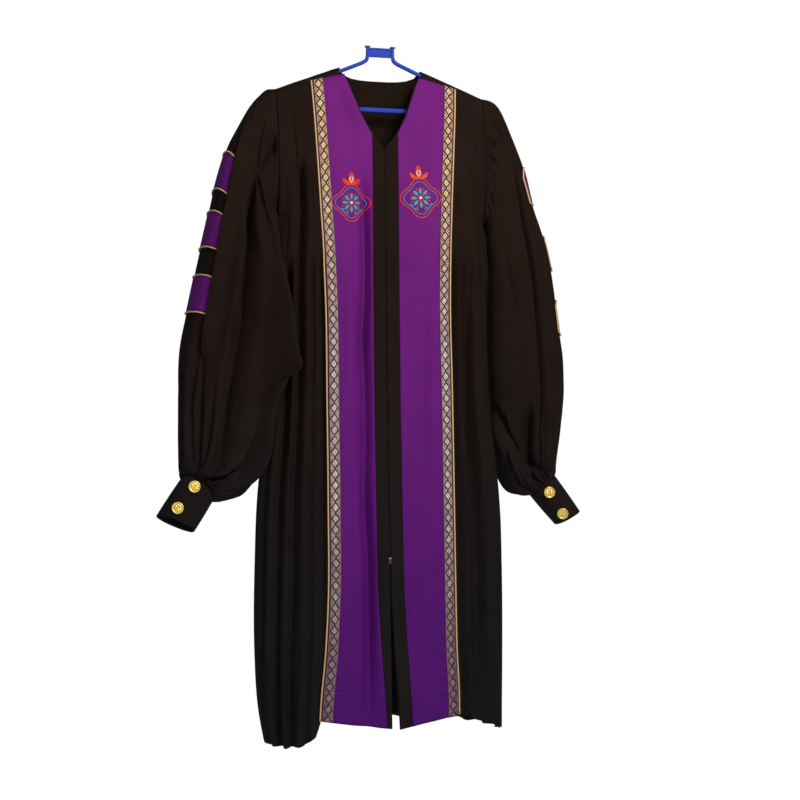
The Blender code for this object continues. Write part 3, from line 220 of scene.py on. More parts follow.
def ridge_z(out):
    return np.interp(np.abs(out), RIDGE["out"], RIDGE["z"])


def body_side(side, z):
    return smooth(z, BODY_SIDE["z"], BODY_SIDE["left" if side > 0 else "right"])


def armhole_share(z):
    """Half depth of the armhole edge as a share of the body's: a quarter ellipse in height."""
    t = np.clip((ARMHOLE_FULL_Z - z) / (ARMHOLE_FULL_Z - UNDERARM_Z), 0.0, 1.0)
    return ARMHOLE_SHARE * np.sqrt(np.maximum(1 - t ** 2, 0.0))


def section_shape(angle, z):
    """Quarter section, distance out and depth as shares: a squared oval, squarer by the
    armhole."""
    out = np.sin(angle) ** SECTION_POWER
    deep = np.cos(angle) ** SECTION_POWER
    square = ARMHOLE_SHARE * (1 - ramp(-z, *SQUARE_FADE))
    near = out ** SIDE_POWER
    share = square * (1 - near) + armhole_share(z) * near
    return out, share + (1 - share) * deep


# Heights and angles at which a quarter section's run of cloth is tabled.
LEVELS = np.linspace(-1.400, -0.020, 277)
ANGLES = np.linspace(0.0, 1.0, 240) ** 1.3 * (math.pi / 2)
SHARES = np.linspace(0.0, 1.0, 500)
# Distance out whose drop below the ridge gives the half depth of a whole section there.
SECTION_OUT = 0.12


def section_rule(facing, side):
    """For each height: the whole run of a quarter section, and its angle at each share of it."""
    key = "front" if facing < 0 else "back"
    out, deep = section_shape(ANGLES[None, :], LEVELS[:, None])
    half = np.interp(ridge_z(SECTION_OUT) - LEVELS, DEPTH["drop"], DEPTH[key])[:, None]
    steps = np.hypot(np.diff(body_side(side, LEVELS)[:, None] * out), np.diff(half * deep))
    run = np.concatenate((np.zeros((len(LEVELS), 1)), np.cumsum(steps, axis=1)), axis=1)
    angle = np.array([np.interp(SHARES * r[-1], r, ANGLES) for r in run])
    return {"total": run[:, -1], "angle": angle}


RULES = {(facing, side): section_rule(facing, side) for facing in (-1, 1) for side in (-1, 1)}


def whole_run(facing, side, z):
    return np.interp(z, LEVELS, RULES[facing, side]["total"])


def even_girth(facing, side, z):
    """Run to the side seam, without the quick change where the armhole closes."""
    total = whole_run(facing, side, z)
    high, low = (whole_run(facing, side, level) for level in ARMHOLE_EVEN)
    even = high + (low - high) * ramp(-z, -ARMHOLE_EVEN[0], -ARMHOLE_EVEN[1])
    inside = (z < ARMHOLE_EVEN[0]) & (z > ARMHOLE_EVEN[1])
    return np.where(inside, even, total)


def body_plan(facing, side, girth, z):
    """x and y of the plain body at a run from the middle and a height, by bilinear lookup."""
    rule = RULES[facing, side]
    share = np.clip(girth / whole_run(facing, side, z), 0.0, 1.0) * (len(SHARES) - 1)
    level = np.clip((z - LEVELS[0]) / (LEVELS[1] - LEVELS[0]), 0, len(LEVELS) - 1.001)
    c = np.clip(share.astype(int), 0, len(SHARES) - 2)
    r = np.clip(level.astype(int), 0, len(LEVELS) - 2)
    fc = share - c
    fr = level - r
    a = rule["angle"]
    angle = (a[r, c] * (1 - fc) + a[r, c + 1] * fc) * (1 - fr)
    angle += (a[r + 1, c] * (1 - fc) + a[r + 1, c + 1] * fc) * fr
    out, deep = section_shape(np.clip(angle, 0.0, math.pi / 2), z)
    x = body_side(side, z) * out
    drop = np.maximum(ridge_z(x) - z, 0.0)
    y = np.interp(drop, DEPTH["drop"], DEPTH["front" if facing < 0 else "back"]) * deep
    return side * x, facing * np.maximum(y, GAP / 2)


def girth_at(facing, side, out, z):
    """Run at which the plain section reaches a distance out, for one height."""
    x, _ = body_plan(facing, side, SHARES * whole_run(facing, side, z), np.full_like(SHARES, z))
    return np.interp(out, np.abs(x), SHARES * whole_run(facing, side, z))


def body_surface(facing, side, girth, z):
    """Plain body at a run and a height, with its unit tangent along the run and the
    direction into the body, each as (x, y)."""
    limit = whole_run(facing, side, z)
    x, y = body_plan(facing, side, np.minimum(girth, limit), z)
    xa, ya = body_plan(facing, side, np.minimum(girth + RUN_STEP, limit), z)
    xb, yb = body_plan(facing, side, np.maximum(girth - RUN_STEP, 0.0), z)
    tangent = unit(np.stack([xa - xb, ya - yb], axis=-1))
    inward = facing * side * np.stack([tangent[..., 1], -tangent[..., 0]], axis=-1)
    return np.stack([x, y], axis=-1), tangent, inward


# A crease bows by this share of its half width and fades over these shares of its length.
CREASE_BOW = 0.8
CREASE_RISE = (-0.05, 0.30)
CREASE_FALL = (0.62, 1.05)


def crease(u, v, rows):
    """Sum of soft troughs, each a bell across a slightly bowed line from (u0, v0) to (u1, v1)
    that fades to nothing at both ends; columns u0, v0, u1, v1, half width, depth."""
    sink = np.zeros(np.broadcast(u, v).shape)
    for u0, v0, u1, v1, half, depth in rows:
        du, dv = u1 - u0, v1 - v0
        length = math.hypot(du, dv)
        along = ((u - u0) * du + (v - v0) * dv) / length ** 2
        away = ((u - u0) * dv - (v - v0) * du) / length
        bow = CREASE_BOW * half * np.sin(along * math.pi)
        fade = ramp(along, *CREASE_RISE) * (1 - ramp(along, *CREASE_FALL))
        sink += depth * fade * np.exp(-((away - bow) / half) ** 2)
    return sink


def bell(away, half):
    """Bell curve, 1 in the middle and 1/e at the half width."""
    return np.exp(-(away / half) ** 2)


def run_along(points):
    """Run along a line of points, from 0 at its first."""
    steps = np.linalg.norm(np.diff(points, axis=0), axis=1)
    return np.concatenate(([0.0], np.cumsum(steps)))


# Mesh helpers.

def cloth_mesh(name, points, uv, outward, ring=False):
    """Quads over a grid of points, columns closed into a ring if asked, faces turned to the
    direction field outward, with a place on its UV map for each point."""
    rows, columns = points.shape[:2]
    last = columns if ring else columns - 1
    r, c = np.meshgrid(np.arange(rows - 1), np.arange(last), indexing="ij")

    def quads_of(wide, after):
        return np.stack([r * wide + c, r * wide + after, (r + 1) * wide + after,
                         (r + 1) * wide + c], axis=-1).reshape(-1, 4)

    quads = quads_of(columns, (c + 1) % columns)
    corner = quads
    if ring:
        uv = np.concatenate((uv, 2 * uv[:, -1:] - uv[:, -2:-1]), axis=1)
        corner = quads_of(columns + 1, c + 1)
    flat = points.reshape(-1, 3)
    one, two, three, four = (flat[quads[:, k]] for k in range(4))
    normal = np.cross(three - one, four - two)
    if np.sum(normal * outward.reshape(-1, 3)[quads[:, 0]]) < 0:
        quads, corner = quads[:, ::-1], corner[:, ::-1]
    return poly_mesh(name, flat, quads, uv.reshape(-1, 2)[corner.reshape(-1)])


def poly_mesh(name, points, faces, corner_uv=None):
    """Mesh object from an array of points and an array of equal faces, shaded smooth."""
    mesh = bpy.data.meshes.new(name)
    sides = faces.shape[1]
    mesh.vertices.add(len(points))
    mesh.vertices.foreach_set("co", np.ascontiguousarray(points, np.float32).ravel())
    mesh.loops.add(faces.size)
    mesh.loops.foreach_set("vertex_index", np.ascontiguousarray(faces, np.int32).ravel())
    mesh.polygons.add(len(faces))
    mesh.polygons.foreach_set("loop_start", np.arange(0, faces.size, sides, dtype=np.int32))
    mesh.polygons.foreach_set("use_smooth", np.ones(len(faces), bool))
    if corner_uv is not None:
        layer = mesh.uv_layers.new(name="Cloth")
        layer.data.foreach_set("uv", np.ascontiguousarray(corner_uv, np.float32).ravel())
    mesh.update()
    mesh.validate()
    piece = bpy.data.objects.new(name, mesh)
    bpy.context.scene.collection.objects.link(piece)
    return piece


# Size of a swept piece's closed end, as a share of its section.
END_PINCH = 0.02


def column(values):
    return values[:, None]


def wall(piece, thickness):
    """Gives a cloth surface its thickness, inward from the outer face."""
    made = piece.modifiers.new("cloth thickness", "SOLIDIFY")
    made.thickness = thickness
    made.offset = -1.0
    made.use_rim = True
    return piece


def finish_piece(piece, material, slot, *nodes):
    """Gives a piece its material and its body, and hides the nodes that it stands for.
    The slot is not used."""
    piece.data.materials.append(material)
    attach(piece, "root")
    if nodes:
        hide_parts(*nodes)
    return piece


def grid_normals(points, outward, ring=False):
    """Unit normals of a grid of points by central differences, on the side of outward."""
    if ring:
        along = np.roll(points, -1, axis=1) - np.roll(points, 1, axis=1)
    else:
        along = np.gradient(points, axis=1)
    return turned(unit(np.cross(along, np.gradient(points, axis=0))), outward)


def lengths_uv(points):
    """UV of a grid: run across each row from its first column and mean run down, in metres."""
    across = np.linalg.norm(np.diff(points, axis=1), axis=-1)
    u = np.concatenate((np.zeros((len(points), 1)), np.cumsum(across, axis=1)), axis=1)
    down = np.linalg.norm(np.diff(points, axis=0), axis=-1).mean(axis=1)
    v = np.concatenate(([0.0], np.cumsum(down)))
    return np.stack([u, np.repeat(v[:, None], points.shape[1], axis=1)], axis=-1)


def swept(name, path, across, up, profile, closed=False):
    """A closed profile of (across, up) offsets carried along a path, with pinched flat ends
    on an open path. The profile may be one for all stations or one for each."""
    path = np.asarray(path, float)
    profile = np.asarray(profile, float)
    if profile.ndim == 2:
        profile = np.repeat(profile[None], len(path), axis=0)
    grid = (path[:, None] + across[:, None] * profile[..., :1] + up[:, None] * profile[..., 1:])
    if closed:
        grid = np.concatenate((grid, grid[:1]))
        path = np.concatenate((path, path[:1]))
    else:
        ends = [path[k, None, None] + (grid[k, None] - path[k, None, None]) * END_PINCH
                for k in (0, -1)]
        grid = np.concatenate((ends[0], grid, ends[1]))
        path = np.concatenate((path[:1], path, path[-1:]))
    turn = np.arange(grid.shape[1]) / grid.shape[1]
    uv = np.stack(np.broadcast_arrays(turn[None, :], column(run_along(path))), axis=-1)
    return cloth_mesh(name, grid, uv, grid - path[:, None], ring=True)


def squared(turn, square):
    """Places on a squared oval of half sizes 1 at given turns: 2 is round, more is squarer."""
    return [np.sign(wave) * np.abs(wave) ** (2.0 / square)
            for wave in (np.cos(turn), np.sin(turn))]


def round_profile(half_across, half_up, sides, square=2.0):
    """Squared oval of the given half sizes."""
    u, v = squared((np.arange(sides) + 0.5) * 2 * math.pi / sides, square)
    return np.stack([half_across * u, half_up * v], axis=-1)


def turned(vectors, way):
    """The same directions, or all of them turned round, whichever agrees with a field."""
    return vectors if np.sum(vectors * way) > 0 else -vectors


def resample(path, pitch):
    """Points of a path every pitch metres, and the share of the row at each."""
    run = run_along(path)
    at = np.linspace(0, run[-1], max(int(run[-1] / pitch), 2))
    share = np.interp(at, run, np.arange(len(path)))
    return np.stack([np.interp(at, run, path[:, k]) for k in range(3)], axis=-1), share


def at_rows(values, share):
    """Rows of an array at fractional row places."""
    low = np.clip(share.astype(int), 0, len(values) - 2)
    t = (share - low)[:, None]
    return values[low] * (1 - t) + values[low + 1] * t


# A stitch: its stations along its length, the swell at each, and its sides and flatness.
STITCH_STATIONS = np.array((-0.5, -0.32, 0.0, 0.32, 0.5))
STITCH_SWELL = np.array((0.15, 0.85, 1.0, 0.85, 0.15))
STITCH_SIDES = 5
STITCH_FLATNESS = 0.8


def stitches(name, path, normals, pitch, length, width):
    """A row of sewn stitches: each is a short spindle whose five-sided section swells from its
    ends to its middle, laid along the path and half sunk in the cloth, all in one mesh."""
    points, share = resample(path, pitch)
    up = unit(at_rows(normals, share))
    along = unit(np.gradient(points, axis=0))
    across = unit(np.cross(along, up))
    turn = np.arange(STITCH_SIDES) * 2 * math.pi / STITCH_SIDES
    reach = column(STITCH_SWELL) * width / 2
    run = (STITCH_STATIONS * length)[None, :, None]
    beside = (np.cos(turn) * reach)[None, ..., None]
    high = (np.sin(turn) * reach * STITCH_FLATNESS)[None, ..., None]
    body = (points[:, None, None] + along[:, None, None] * run[..., None]
            + across[:, None, None] * beside + up[:, None, None] * high)
    rings = len(STITCH_STATIONS)
    stitch, ring, side = np.meshgrid(np.arange(len(points)), np.arange(rings - 1),
                                     np.arange(STITCH_SIDES), indexing="ij")
    base = (stitch * rings + ring) * STITCH_SIDES
    after = (side + 1) % STITCH_SIDES
    quads = np.stack([base + side, base + after, base + STITCH_SIDES + after,
                      base + STITCH_SIDES + side], axis=-1).reshape(-1, 4)
    round_run = (turn * width / 6)[None, None, :]
    uv = np.stack(np.broadcast_arrays(round_run, run, np.zeros((len(points), 1, 1))), axis=-1)
    return poly_mesh(name, body.reshape(-1, 3), quads, uv[..., :2].reshape(-1, 2)[quads.ravel()])


# Front surface.

def front_marks(side, levels):
    """Runs of a front's main lines at each height: centre edge, panel edge, ribbon edges,
    panel's outer edge, piping, side seam and the even girth that carries the folds."""
    key = "left" if side > 0 else "right"
    neck = np.interp(levels, NECK_EDGE["z"], NECK_EDGE["out"])
    neck = np.where(levels <= NECK_BOTTOM_Z, 0.0, neck)
    middle = side * smooth(levels, CENTRE_LINE["z"], CENTRE_LINE["x"])
    edge = smooth(levels, PANEL_EDGE["z"], PANEL_EDGE[key])
    outs = {
        "start": np.where(neck > 0, neck, middle) + CENTRE_CLEAR,
        "inner": np.maximum(neck + PANEL_FROM_NECK, PANEL_START[side] + middle),
        "ribbon_in": edge - RIBBON_INNER,
        "ribbon_out": edge - RIBBON_OUTER,
        "panel_out": edge - PANEL_OUTER,
        "edge": edge,
    }
    marks = {name: np.array([girth_at(-1, side, out, z) for out, z in zip(values, levels)])
             for name, values in outs.items()}
    marks["total"] = whole_run(-1, side, levels)
    marks["even"] = even_girth(-1, side, levels)
    return marks


# Small creases of each front: along from the piping (0) to the side seam (1) and height in
# metres at both ends, then half width as a share and depth.
FRONT_CREASES = {
    -1: (
        (0.22, -0.215, 0.20, -0.390, 0.018, 0.0016), (0.70, -0.150, 0.52, -0.330, 0.060, 0.0035),
        (0.95, -0.330, 0.62, -0.420, 0.050, 0.0040), (0.10, -0.480, 0.16, -0.760, 0.020, 0.0018),
        (0.30, -0.640, 0.24, -1.020, 0.030, 0.0030), (0.48, -0.900, 0.50, -1.290, 0.040, 0.0045),
        (0.70, -0.560, 0.74, -0.900, 0.040, 0.0040), (0.90, -0.800, 0.84, -1.250, 0.050, 0.0050),
        (0.13, -1.000, 0.10, -1.310, 0.022, 0.0026), (0.30, -1.100, 0.33, -1.340, 0.028, 0.0034),
    ),
    1: (
        (0.20, -0.240, 0.13, -0.390, 0.022, 0.0024), (0.75, -0.150, 0.60, -0.320, 0.060, 0.0030),
        (0.95, -0.330, 0.66, -0.440, 0.050, 0.0040), (0.24, -0.500, 0.22, -0.860, 0.025, 0.0026),
        (0.46, -0.620, 0.44, -0.980, 0.035, 0.0034), (0.64, -0.760, 0.68, -1.200, 0.040, 0.0046),
        (0.88, -0.520, 0.90, -0.920, 0.045, 0.0040), (0.30, -1.020, 0.27, -1.300, 0.028, 0.0034),
        (0.86, -0.980, 0.90, -1.340, 0.045, 0.0048),
    ),
}
# Pleats of each front: places across the black cloth where it drops back and where it comes
# forward again, depth, and heights of no, full, full and no depth.
FRONT_PLEATS = {
    -1: ((0.055, 0.110, 0.0090, -0.34, -0.52, -1.00, -1.20),),
    1: ((0.235, 0.500, 0.0340, -0.34, -0.62, -1.15, -1.42),),
}
PLEAT_END = 0.035
PLEAT_EDGE = 0.012
# The same in the purple panel: run from the centre line in metres and height.
PANEL_CREASES = {
    -1: (
        (0.046, -0.235, 0.050, -0.640, 0.0095, 0.0200),
        (0.051, -0.480, 0.050, -0.960, 0.0095, 0.0160),
        (0.050, -0.800, 0.047, -1.320, 0.0100, 0.0180),
        (0.084, -0.360, 0.080, -0.800, 0.014, -0.0035),
        (0.074, -0.300, 0.066, -0.560, 0.009, 0.0010),
        (0.064, -0.560, 0.066, -0.900, 0.008, 0.0016),
        (0.090, -0.760, 0.082, -1.180, 0.013, 0.0050),
        (0.038, -0.900, 0.044, -1.260, 0.008, 0.0018),
        (0.104, -0.050, 0.072, -0.230, 0.020, 0.0070),
        (0.110, -1.050, 0.098, -1.300, 0.010, 0.0020),
    ),
    1: (
        (0.052, -0.300, 0.058, -0.640, 0.012, 0.0036),
        (0.086, -0.440, 0.080, -0.900, 0.014, 0.0060),
        (0.050, -0.800, 0.054, -1.240, 0.011, 0.0048),
        (0.090, -0.980, 0.094, -1.290, 0.013, 0.0050),
        (0.102, -0.050, 0.078, -0.260, 0.020, 0.0060),
        (0.060, -0.520, 0.100, -0.560, 0.010, 0.0020),
    ),
}
# Run of the panel's edge for which the hem table is given, and steepness of a fold's bell.
PANEL_EDGE_RUN = 0.118
FOLD_STEEPNESS = 0.9
# Shares of the black cloth over which its creases fade in and out, and those of the panel.
CLOTH_FADE_IN = 0.06
CLOTH_FADE_OUT = 0.05
PANEL_FADE = 0.05


def front_cloth(side, girth, level, marks):
    """Front surface at a run from the centre line and a level: the plain body at the height
    that the yoke seam and hem give, moved in by the sum of bell-shaped folds and troughs and
    sideways by their lean."""
    key = "left" if side > 0 else "right"
    edge_girth = marks["edge"]
    rest = marks["even"] - edge_girth
    x0, _ = body_plan(-1, side, girth, level)
    drop = np.interp(np.abs(x0), YOKE_SEAM["out"], YOKE_SEAM["drop"])
    share = 1 - ramp(-level, FRONT_TOP, FRONT_TOP + FRONT_YOKE_FADE)
    z = level + (ridge_z(x0) - drop - GAP + FRONT_TOP) * share
    along = (girth - edge_girth) / (marks["total"] - edge_girth)
    place = np.where(along < 0, along * edge_girth / PANEL_EDGE_RUN, along)
    hem = np.interp(place, FRONT_HEM["along"], FRONT_HEM[key])
    z = z + (hem + FRONT_LOW) * ramp(-z, HEM_START, FRONT_LOW) ** 2
    plain, tangent, inward = body_surface(-1, side, girth, z)
    across = (girth - edge_girth) / rest
    sink = np.zeros_like(girth)
    slide = np.zeros_like(girth)
    for seam, knee, low, start, depth, half, lean in FRONT_FOLDS[side]:
        grown = ramp(-z, -start, -start + FOLD_GROWTH)
        fold = np.interp(-z, FOLD_HEIGHTS, (seam, knee, low))
        near = np.exp(-((across - fold) * FOLD_RUN / half) ** 2 * FOLD_STEEPNESS)
        sink += depth * grown * near
        slide += lean * grown * near
    at, deep = PANEL_TROUGH[side]
    trough = np.interp(-z, TROUGH_SHARE["below"], TROUGH_SHARE["share"])
    sink += deep * bell(girth - at, TROUGH_HALF_WIDTH) * trough
    for place, far, deep, start, full, hold, end in FRONT_PLEATS[side]:
        within = np.tanh((across - place) / PLEAT_EDGE) - np.tanh((across - far) / PLEAT_END)
        sink += deep * within / 2 * ramp(-z, -start, -full) * (1 - ramp(-z, -hold, -end))
    outer = ramp(across, 0.0, CLOTH_FADE_IN) * ramp(1 - along, 0.0, CLOTH_FADE_OUT)
    sink += outer * crease(across, z, FRONT_CREASES[side])
    sink += ramp(-across, 0.0, PANEL_FADE) * crease(girth, z, PANEL_CREASES[side])
    flat = plain + inward * sink[..., None] + tangent * slide[..., None]
    return np.concatenate((flat, z[..., None]), axis=-1)


# How far a front's direction field turns sideways for each metre from the middle.
FRONT_SPREAD = 0.4


def front_patch(side, levels, stops, counts):
    """Grid of the front between named lines, with a given number of columns in each strip."""
    marks = front_marks(side, levels)
    strips = []
    for (a, b), count in zip(zip(stops[:-1], stops[1:]), counts):
        share = np.linspace(0, 1, count, endpoint=b == stops[-1])
        strips.append(column(marks[a]) * (1 - share) + column(marks[b]) * share)
    girth = np.concatenate(strips, axis=1)
    wide = {name: column(values) for name, values in marks.items()}
    level = np.repeat(column(levels), girth.shape[1], axis=1)
    points = front_cloth(side, girth, level, wide)
    way = points * np.array([FRONT_SPREAD, 0.0, 0.0])
    way[..., 1] = -1.0
    return points, grid_normals(points, way), way


# Back and yoke surfaces.

BACK_CREASES = (
    (-0.86, -0.300, -0.55, -0.420, 0.050, 0.0050), (0.86, -0.300, 0.58, -0.430, 0.050, 0.0050),
    (-0.40, -0.215, -0.36, -0.330, 0.014, 0.0030), (0.42, -0.215, 0.37, -0.340, 0.014, 0.0030),
    (-0.12, -0.460, -0.18, -0.820, 0.022, 0.0030), (0.20, -0.520, 0.16, -0.940, 0.022, 0.0034),
    (-0.62, -0.640, -0.56, -1.060, 0.030, 0.0040), (0.66, -0.600, 0.70, -1.020, 0.030, 0.0040),
    (-0.30, -0.900, -0.34, -1.310, 0.024, 0.0036), (0.36, -0.960, 0.32, -1.320, 0.024, 0.0036),
    (-0.80, -0.980, -0.84, -1.340, 0.030, 0.0042), (0.84, -0.940, 0.80, -1.340, 0.030, 0.0042),
    (0.02, -0.980, 0.05, -1.320, 0.020, 0.0028),
)
# Uneven depth of the flutes across the back: place and share.
FLUTE_UNEVEN = table(("across", "share"), (
    (-1.00, 0.8), (-0.80, 1.2), (-0.62, 0.75), (-0.45, 1.15), (-0.25, 0.9), (-0.08, 1.2),
    (0.10, 0.8), (0.28, 1.15), (0.47, 0.85), (0.66, 1.2), (0.84, 0.9), (1.00, 0.8),
))


def back_cloth(rows, columns):
    """Back surface: the plain body moved in by a row of uneven cosine flutes that open
    towards the hem, plus creases, between the yoke seam and a hem lower at the sides."""
    heights = np.linspace(0.0, 1.0, rows) ** BACK_CROWDING
    level = column(BACK_YOKE_Z + (BACK_HEM_MIDDLE_Z - BACK_YOKE_Z) * heights)
    s = np.linspace(-1.0, 1.0, columns)[None, :]
    halves = []
    for side, part in ((-1, s[:, s[0] < 0]), (1, s[:, s[0] >= 0])):
        bow = part ** 2 * ramp(-level, BACK_BOW_START, -BACK_HEM_MIDDLE_Z)
        z = level + (BACK_HEM_SIDE_Z - BACK_HEM_MIDDLE_Z) * bow
        total = even_girth(1, 1, level)
        seam = whole_run(1, side, level)
        total = total + (seam - total) * ramp(np.abs(part), BACK_EVEN_SHARE, 1.0)
        girth = np.minimum(np.abs(part) * total, whole_run(1, side, z))
        plain, _, inward = body_surface(1, side, girth, z)
        phase = part * (BACK_FLUTES + 1) * math.pi
        phase = phase + FLUTE_WANDER * np.sin(WANDER_ACROSS * part + WANDER_DOWN * z)
        grown = np.interp(-z, FLUTE_SHARE["below"], FLUTE_SHARE["share"])
        place = part + FLUTE_DRIFT * np.sin(DRIFT_DOWN * z)
        uneven = np.interp(place, FLUTE_UNEVEN["across"], FLUTE_UNEVEN["share"])
        fade = ramp(1 - np.abs(part), 0.0, FLUTE_FADE)
        sink = BACK_FLUTE_DEPTH * grown * uneven * fade * (1 - np.cos(phase))
        sink = sink + fade * crease(part, z, BACK_CREASES)
        flat = plain + inward * sink[..., None]
        halves.append(np.concatenate((flat, z[..., None]), axis=-1))
    return np.concatenate(halves, axis=1)


# Upper edge of the yoke from the armhole to the middle of the neck: out, and run over the
# ridge, where none is given at the front yoke seam.
YOKE_EDGE = table(("out", "run"), (
    (0.2110, np.nan), (0.1860, np.nan), (0.1600, np.nan), (0.1350, np.nan), (0.1100, np.nan),
    (0.0865, np.nan), (0.0835, -0.009), (0.0825, 0.000), (0.0800, 0.010), (0.0720, 0.021),
    (0.0560, 0.0275), (0.0380, 0.0305), (0.0190, 0.0320), (0.0000, 0.0325),
))
# Drops below the ridge, close together at its top, and the run of cloth down to each.
DROPS = np.concatenate((np.linspace(0, 1, 60) ** 2 * 0.012, np.linspace(0.013, 0.260, 80)))
RUNS = {key: run_along(np.stack([DROPS, np.interp(DROPS, DEPTH["drop"], DEPTH[key])], axis=-1))
        for key in ("front", "back")}
YOKE_CROWDING = 1.3


def over_shoulder(x, run):
    """Yoke surface at a distance out and a run over the ridge, front negative."""
    drop = np.where(run < 0, np.interp(np.abs(run), RUNS["front"], DROPS),
                    np.interp(np.abs(run), RUNS["back"], DROPS))
    z = ridge_z(x) - drop
    angle = np.arcsin(np.clip(np.abs(x) / SHOULDER_END, 0, 1) ** (1 / SECTION_POWER))
    deep = np.where(run < 0, np.interp(drop, DEPTH["drop"], DEPTH["front"]),
                    np.interp(drop, DEPTH["drop"], DEPTH["back"]))
    y = np.sign(run) * deep * section_shape(angle, z)[1]
    return np.stack(np.broadcast_arrays(x, y, z), axis=-1)


def yoke_cloth(rows, columns):
    """Yoke surface: lines from its front and neck edge over the ridge to the back seam."""
    way = np.linspace(-1.0, 1.0, columns)
    knots = np.arange(len(YOKE_EDGE["out"]))
    place = knots[-1] - np.abs(way) * knots[-1]
    out = np.interp(place, knots, YOKE_EDGE["out"])
    seam_drop = np.interp(YOKE_EDGE["out"], YOKE_SEAM["out"], YOKE_SEAM["drop"])
    seam_run = -np.interp(seam_drop, DROPS, RUNS["front"])
    edge_run = np.where(np.isnan(YOKE_EDGE["run"]), seam_run, YOKE_EDGE["run"])
    start = np.interp(place, knots, edge_run)
    low_out = SHOULDER_END * (1 - place / knots[-1])
    end = np.interp(ridge_z(low_out) - (BACK_YOKE_Z + GAP), DROPS, RUNS["back"])
    share = column(np.linspace(0.0, 1.0, rows) ** YOKE_CROWDING)
    x = (out + (low_out - out) * share) * np.where(way < 0, -1.0, 1.0)
    return over_shoulder(x, start + (end - start) * share)


# Sleeve surfaces, from the armhole (row 0) to the cuff seam (row 15).

SLEEVE_NAMES = ("outer_x", "outer_z", "inner_x", "inner_z", "mid_y", "half_depth", "square",
                "armhole", "skew", "tilt")
SLEEVE = {
    -1: table(SLEEVE_NAMES, (
        (-0.2113, -0.0735, -0.2113, -0.3300, 0.000, 0.040, 2.2, 1.00, 0.000, 0.000),
        (-0.2320, -0.0790, -0.2150, -0.3345, 0.000, 0.043, 2.2, 0.90, 0.000, 0.000),
        (-0.2560, -0.1080, -0.2175, -0.3440, 0.000, 0.046, 2.3, 0.60, 0.002, 0.000),
        (-0.2780, -0.1530, -0.2195, -0.3570, 0.000, 0.048, 2.5, 0.25, 0.005, 0.000),
        (-0.3030, -0.2140, -0.2212, -0.3750, 0.000, 0.049, 2.8, 0.00, 0.008, 0.000),
        (-0.3215, -0.2810, -0.2230, -0.4040, 0.000, 0.050, 3.0, 0.00, 0.010, 0.000),
        (-0.3315, -0.3260, -0.2240, -0.4290, 0.000, 0.050, 3.0, 0.00, 0.012, 0.000),
        (-0.3455, -0.3910, -0.2260, -0.4700, 0.000, 0.050, 3.0, 0.00, 0.015, 0.000),
        (-0.3575, -0.4480, -0.2270, -0.5080, 0.000, 0.050, 3.0, 0.00, 0.017, 0.000),
        (-0.3720, -0.5150, -0.2280, -0.5550, 0.000, 0.050, 2.9, 0.00, 0.018, 0.000),
        (-0.3900, -0.5880, -0.2310, -0.6250, -0.002, 0.048, 2.8, 0.00, 0.015, 0.000),
        (-0.3980, -0.6650, -0.2390, -0.7080, -0.006, 0.046, 2.6, 0.00, 0.010, 0.000),
        (-0.4000, -0.7400, -0.2520, -0.8060, -0.012, 0.043, 2.5, 0.00, 0.006, 0.000),
        (-0.3985, -0.7880, -0.2750, -0.8640, -0.014, 0.038, 2.4, 0.00, 0.003, 0.004),
        (-0.3965, -0.8190, -0.3070, -0.8780, -0.012, 0.031, 2.3, 0.00, 0.000, 0.011),
        (-0.3928, -0.8331, -0.3343, -0.8797, -0.010, 0.025, 2.2, 0.00, 0.000, 0.016),
    )),
    1: table(SLEEVE_NAMES, (
        (0.2113, -0.0735, 0.2113, -0.3300, 0.000, 0.040, 2.2, 1.00, 0.000, 0.000),
        (0.2300, -0.0780, 0.2150, -0.3345, 0.001, 0.043, 2.2, 0.90, 0.000, 0.000),
        (0.2480, -0.0960, 0.2175, -0.3440, 0.004, 0.046, 2.3, 0.60, 0.002, 0.000),
        (0.2680, -0.1390, 0.2195, -0.3570, 0.008, 0.048, 2.5, 0.25, 0.004, 0.000),
        (0.2990, -0.2140, 0.2215, -0.3750, 0.011, 0.049, 2.8, 0.00, 0.006, 0.000),
        (0.3200, -0.2830, 0.2250, -0.4060, 0.013, 0.050, 3.0, 0.00, 0.006, 0.000),
        (0.3435, -0.3500, 0.2260, -0.4430, 0.014, 0.050, 3.0, 0.00, 0.004, 0.000),
        (0.3600, -0.4180, 0.2265, -0.4880, 0.014, 0.050, 3.0, 0.00, 0.003, 0.000),
        (0.3700, -0.4820, 0.2270, -0.5330, 0.014, 0.050, 3.0, 0.00, 0.003, 0.000),
        (0.3800, -0.5500, 0.2280, -0.5860, 0.015, 0.050, 2.9, 0.00, 0.003, 0.000),
        (0.3890, -0.6050, 0.2310, -0.6400, 0.016, 0.048, 2.8, 0.00, 0.003, 0.000),
        (0.3930, -0.6700, 0.2390, -0.7100, 0.020, 0.046, 2.6, 0.00, 0.003, 0.000),
        (0.3870, -0.7460, 0.2495, -0.8110, 0.024, 0.043, 2.5, 0.00, 0.003, 0.000),
        (0.3785, -0.8020, 0.2710, -0.8680, 0.024, 0.040, 2.4, 0.00, 0.002, 0.002),
        (0.3740, -0.8280, 0.3010, -0.8800, 0.020, 0.038, 2.2, 0.00, 0.000, 0.004),
        (0.3720, -0.8420, 0.3220, -0.8815, 0.016, 0.035, 2.1, 0.00, 0.000, 0.005),
    )),
}

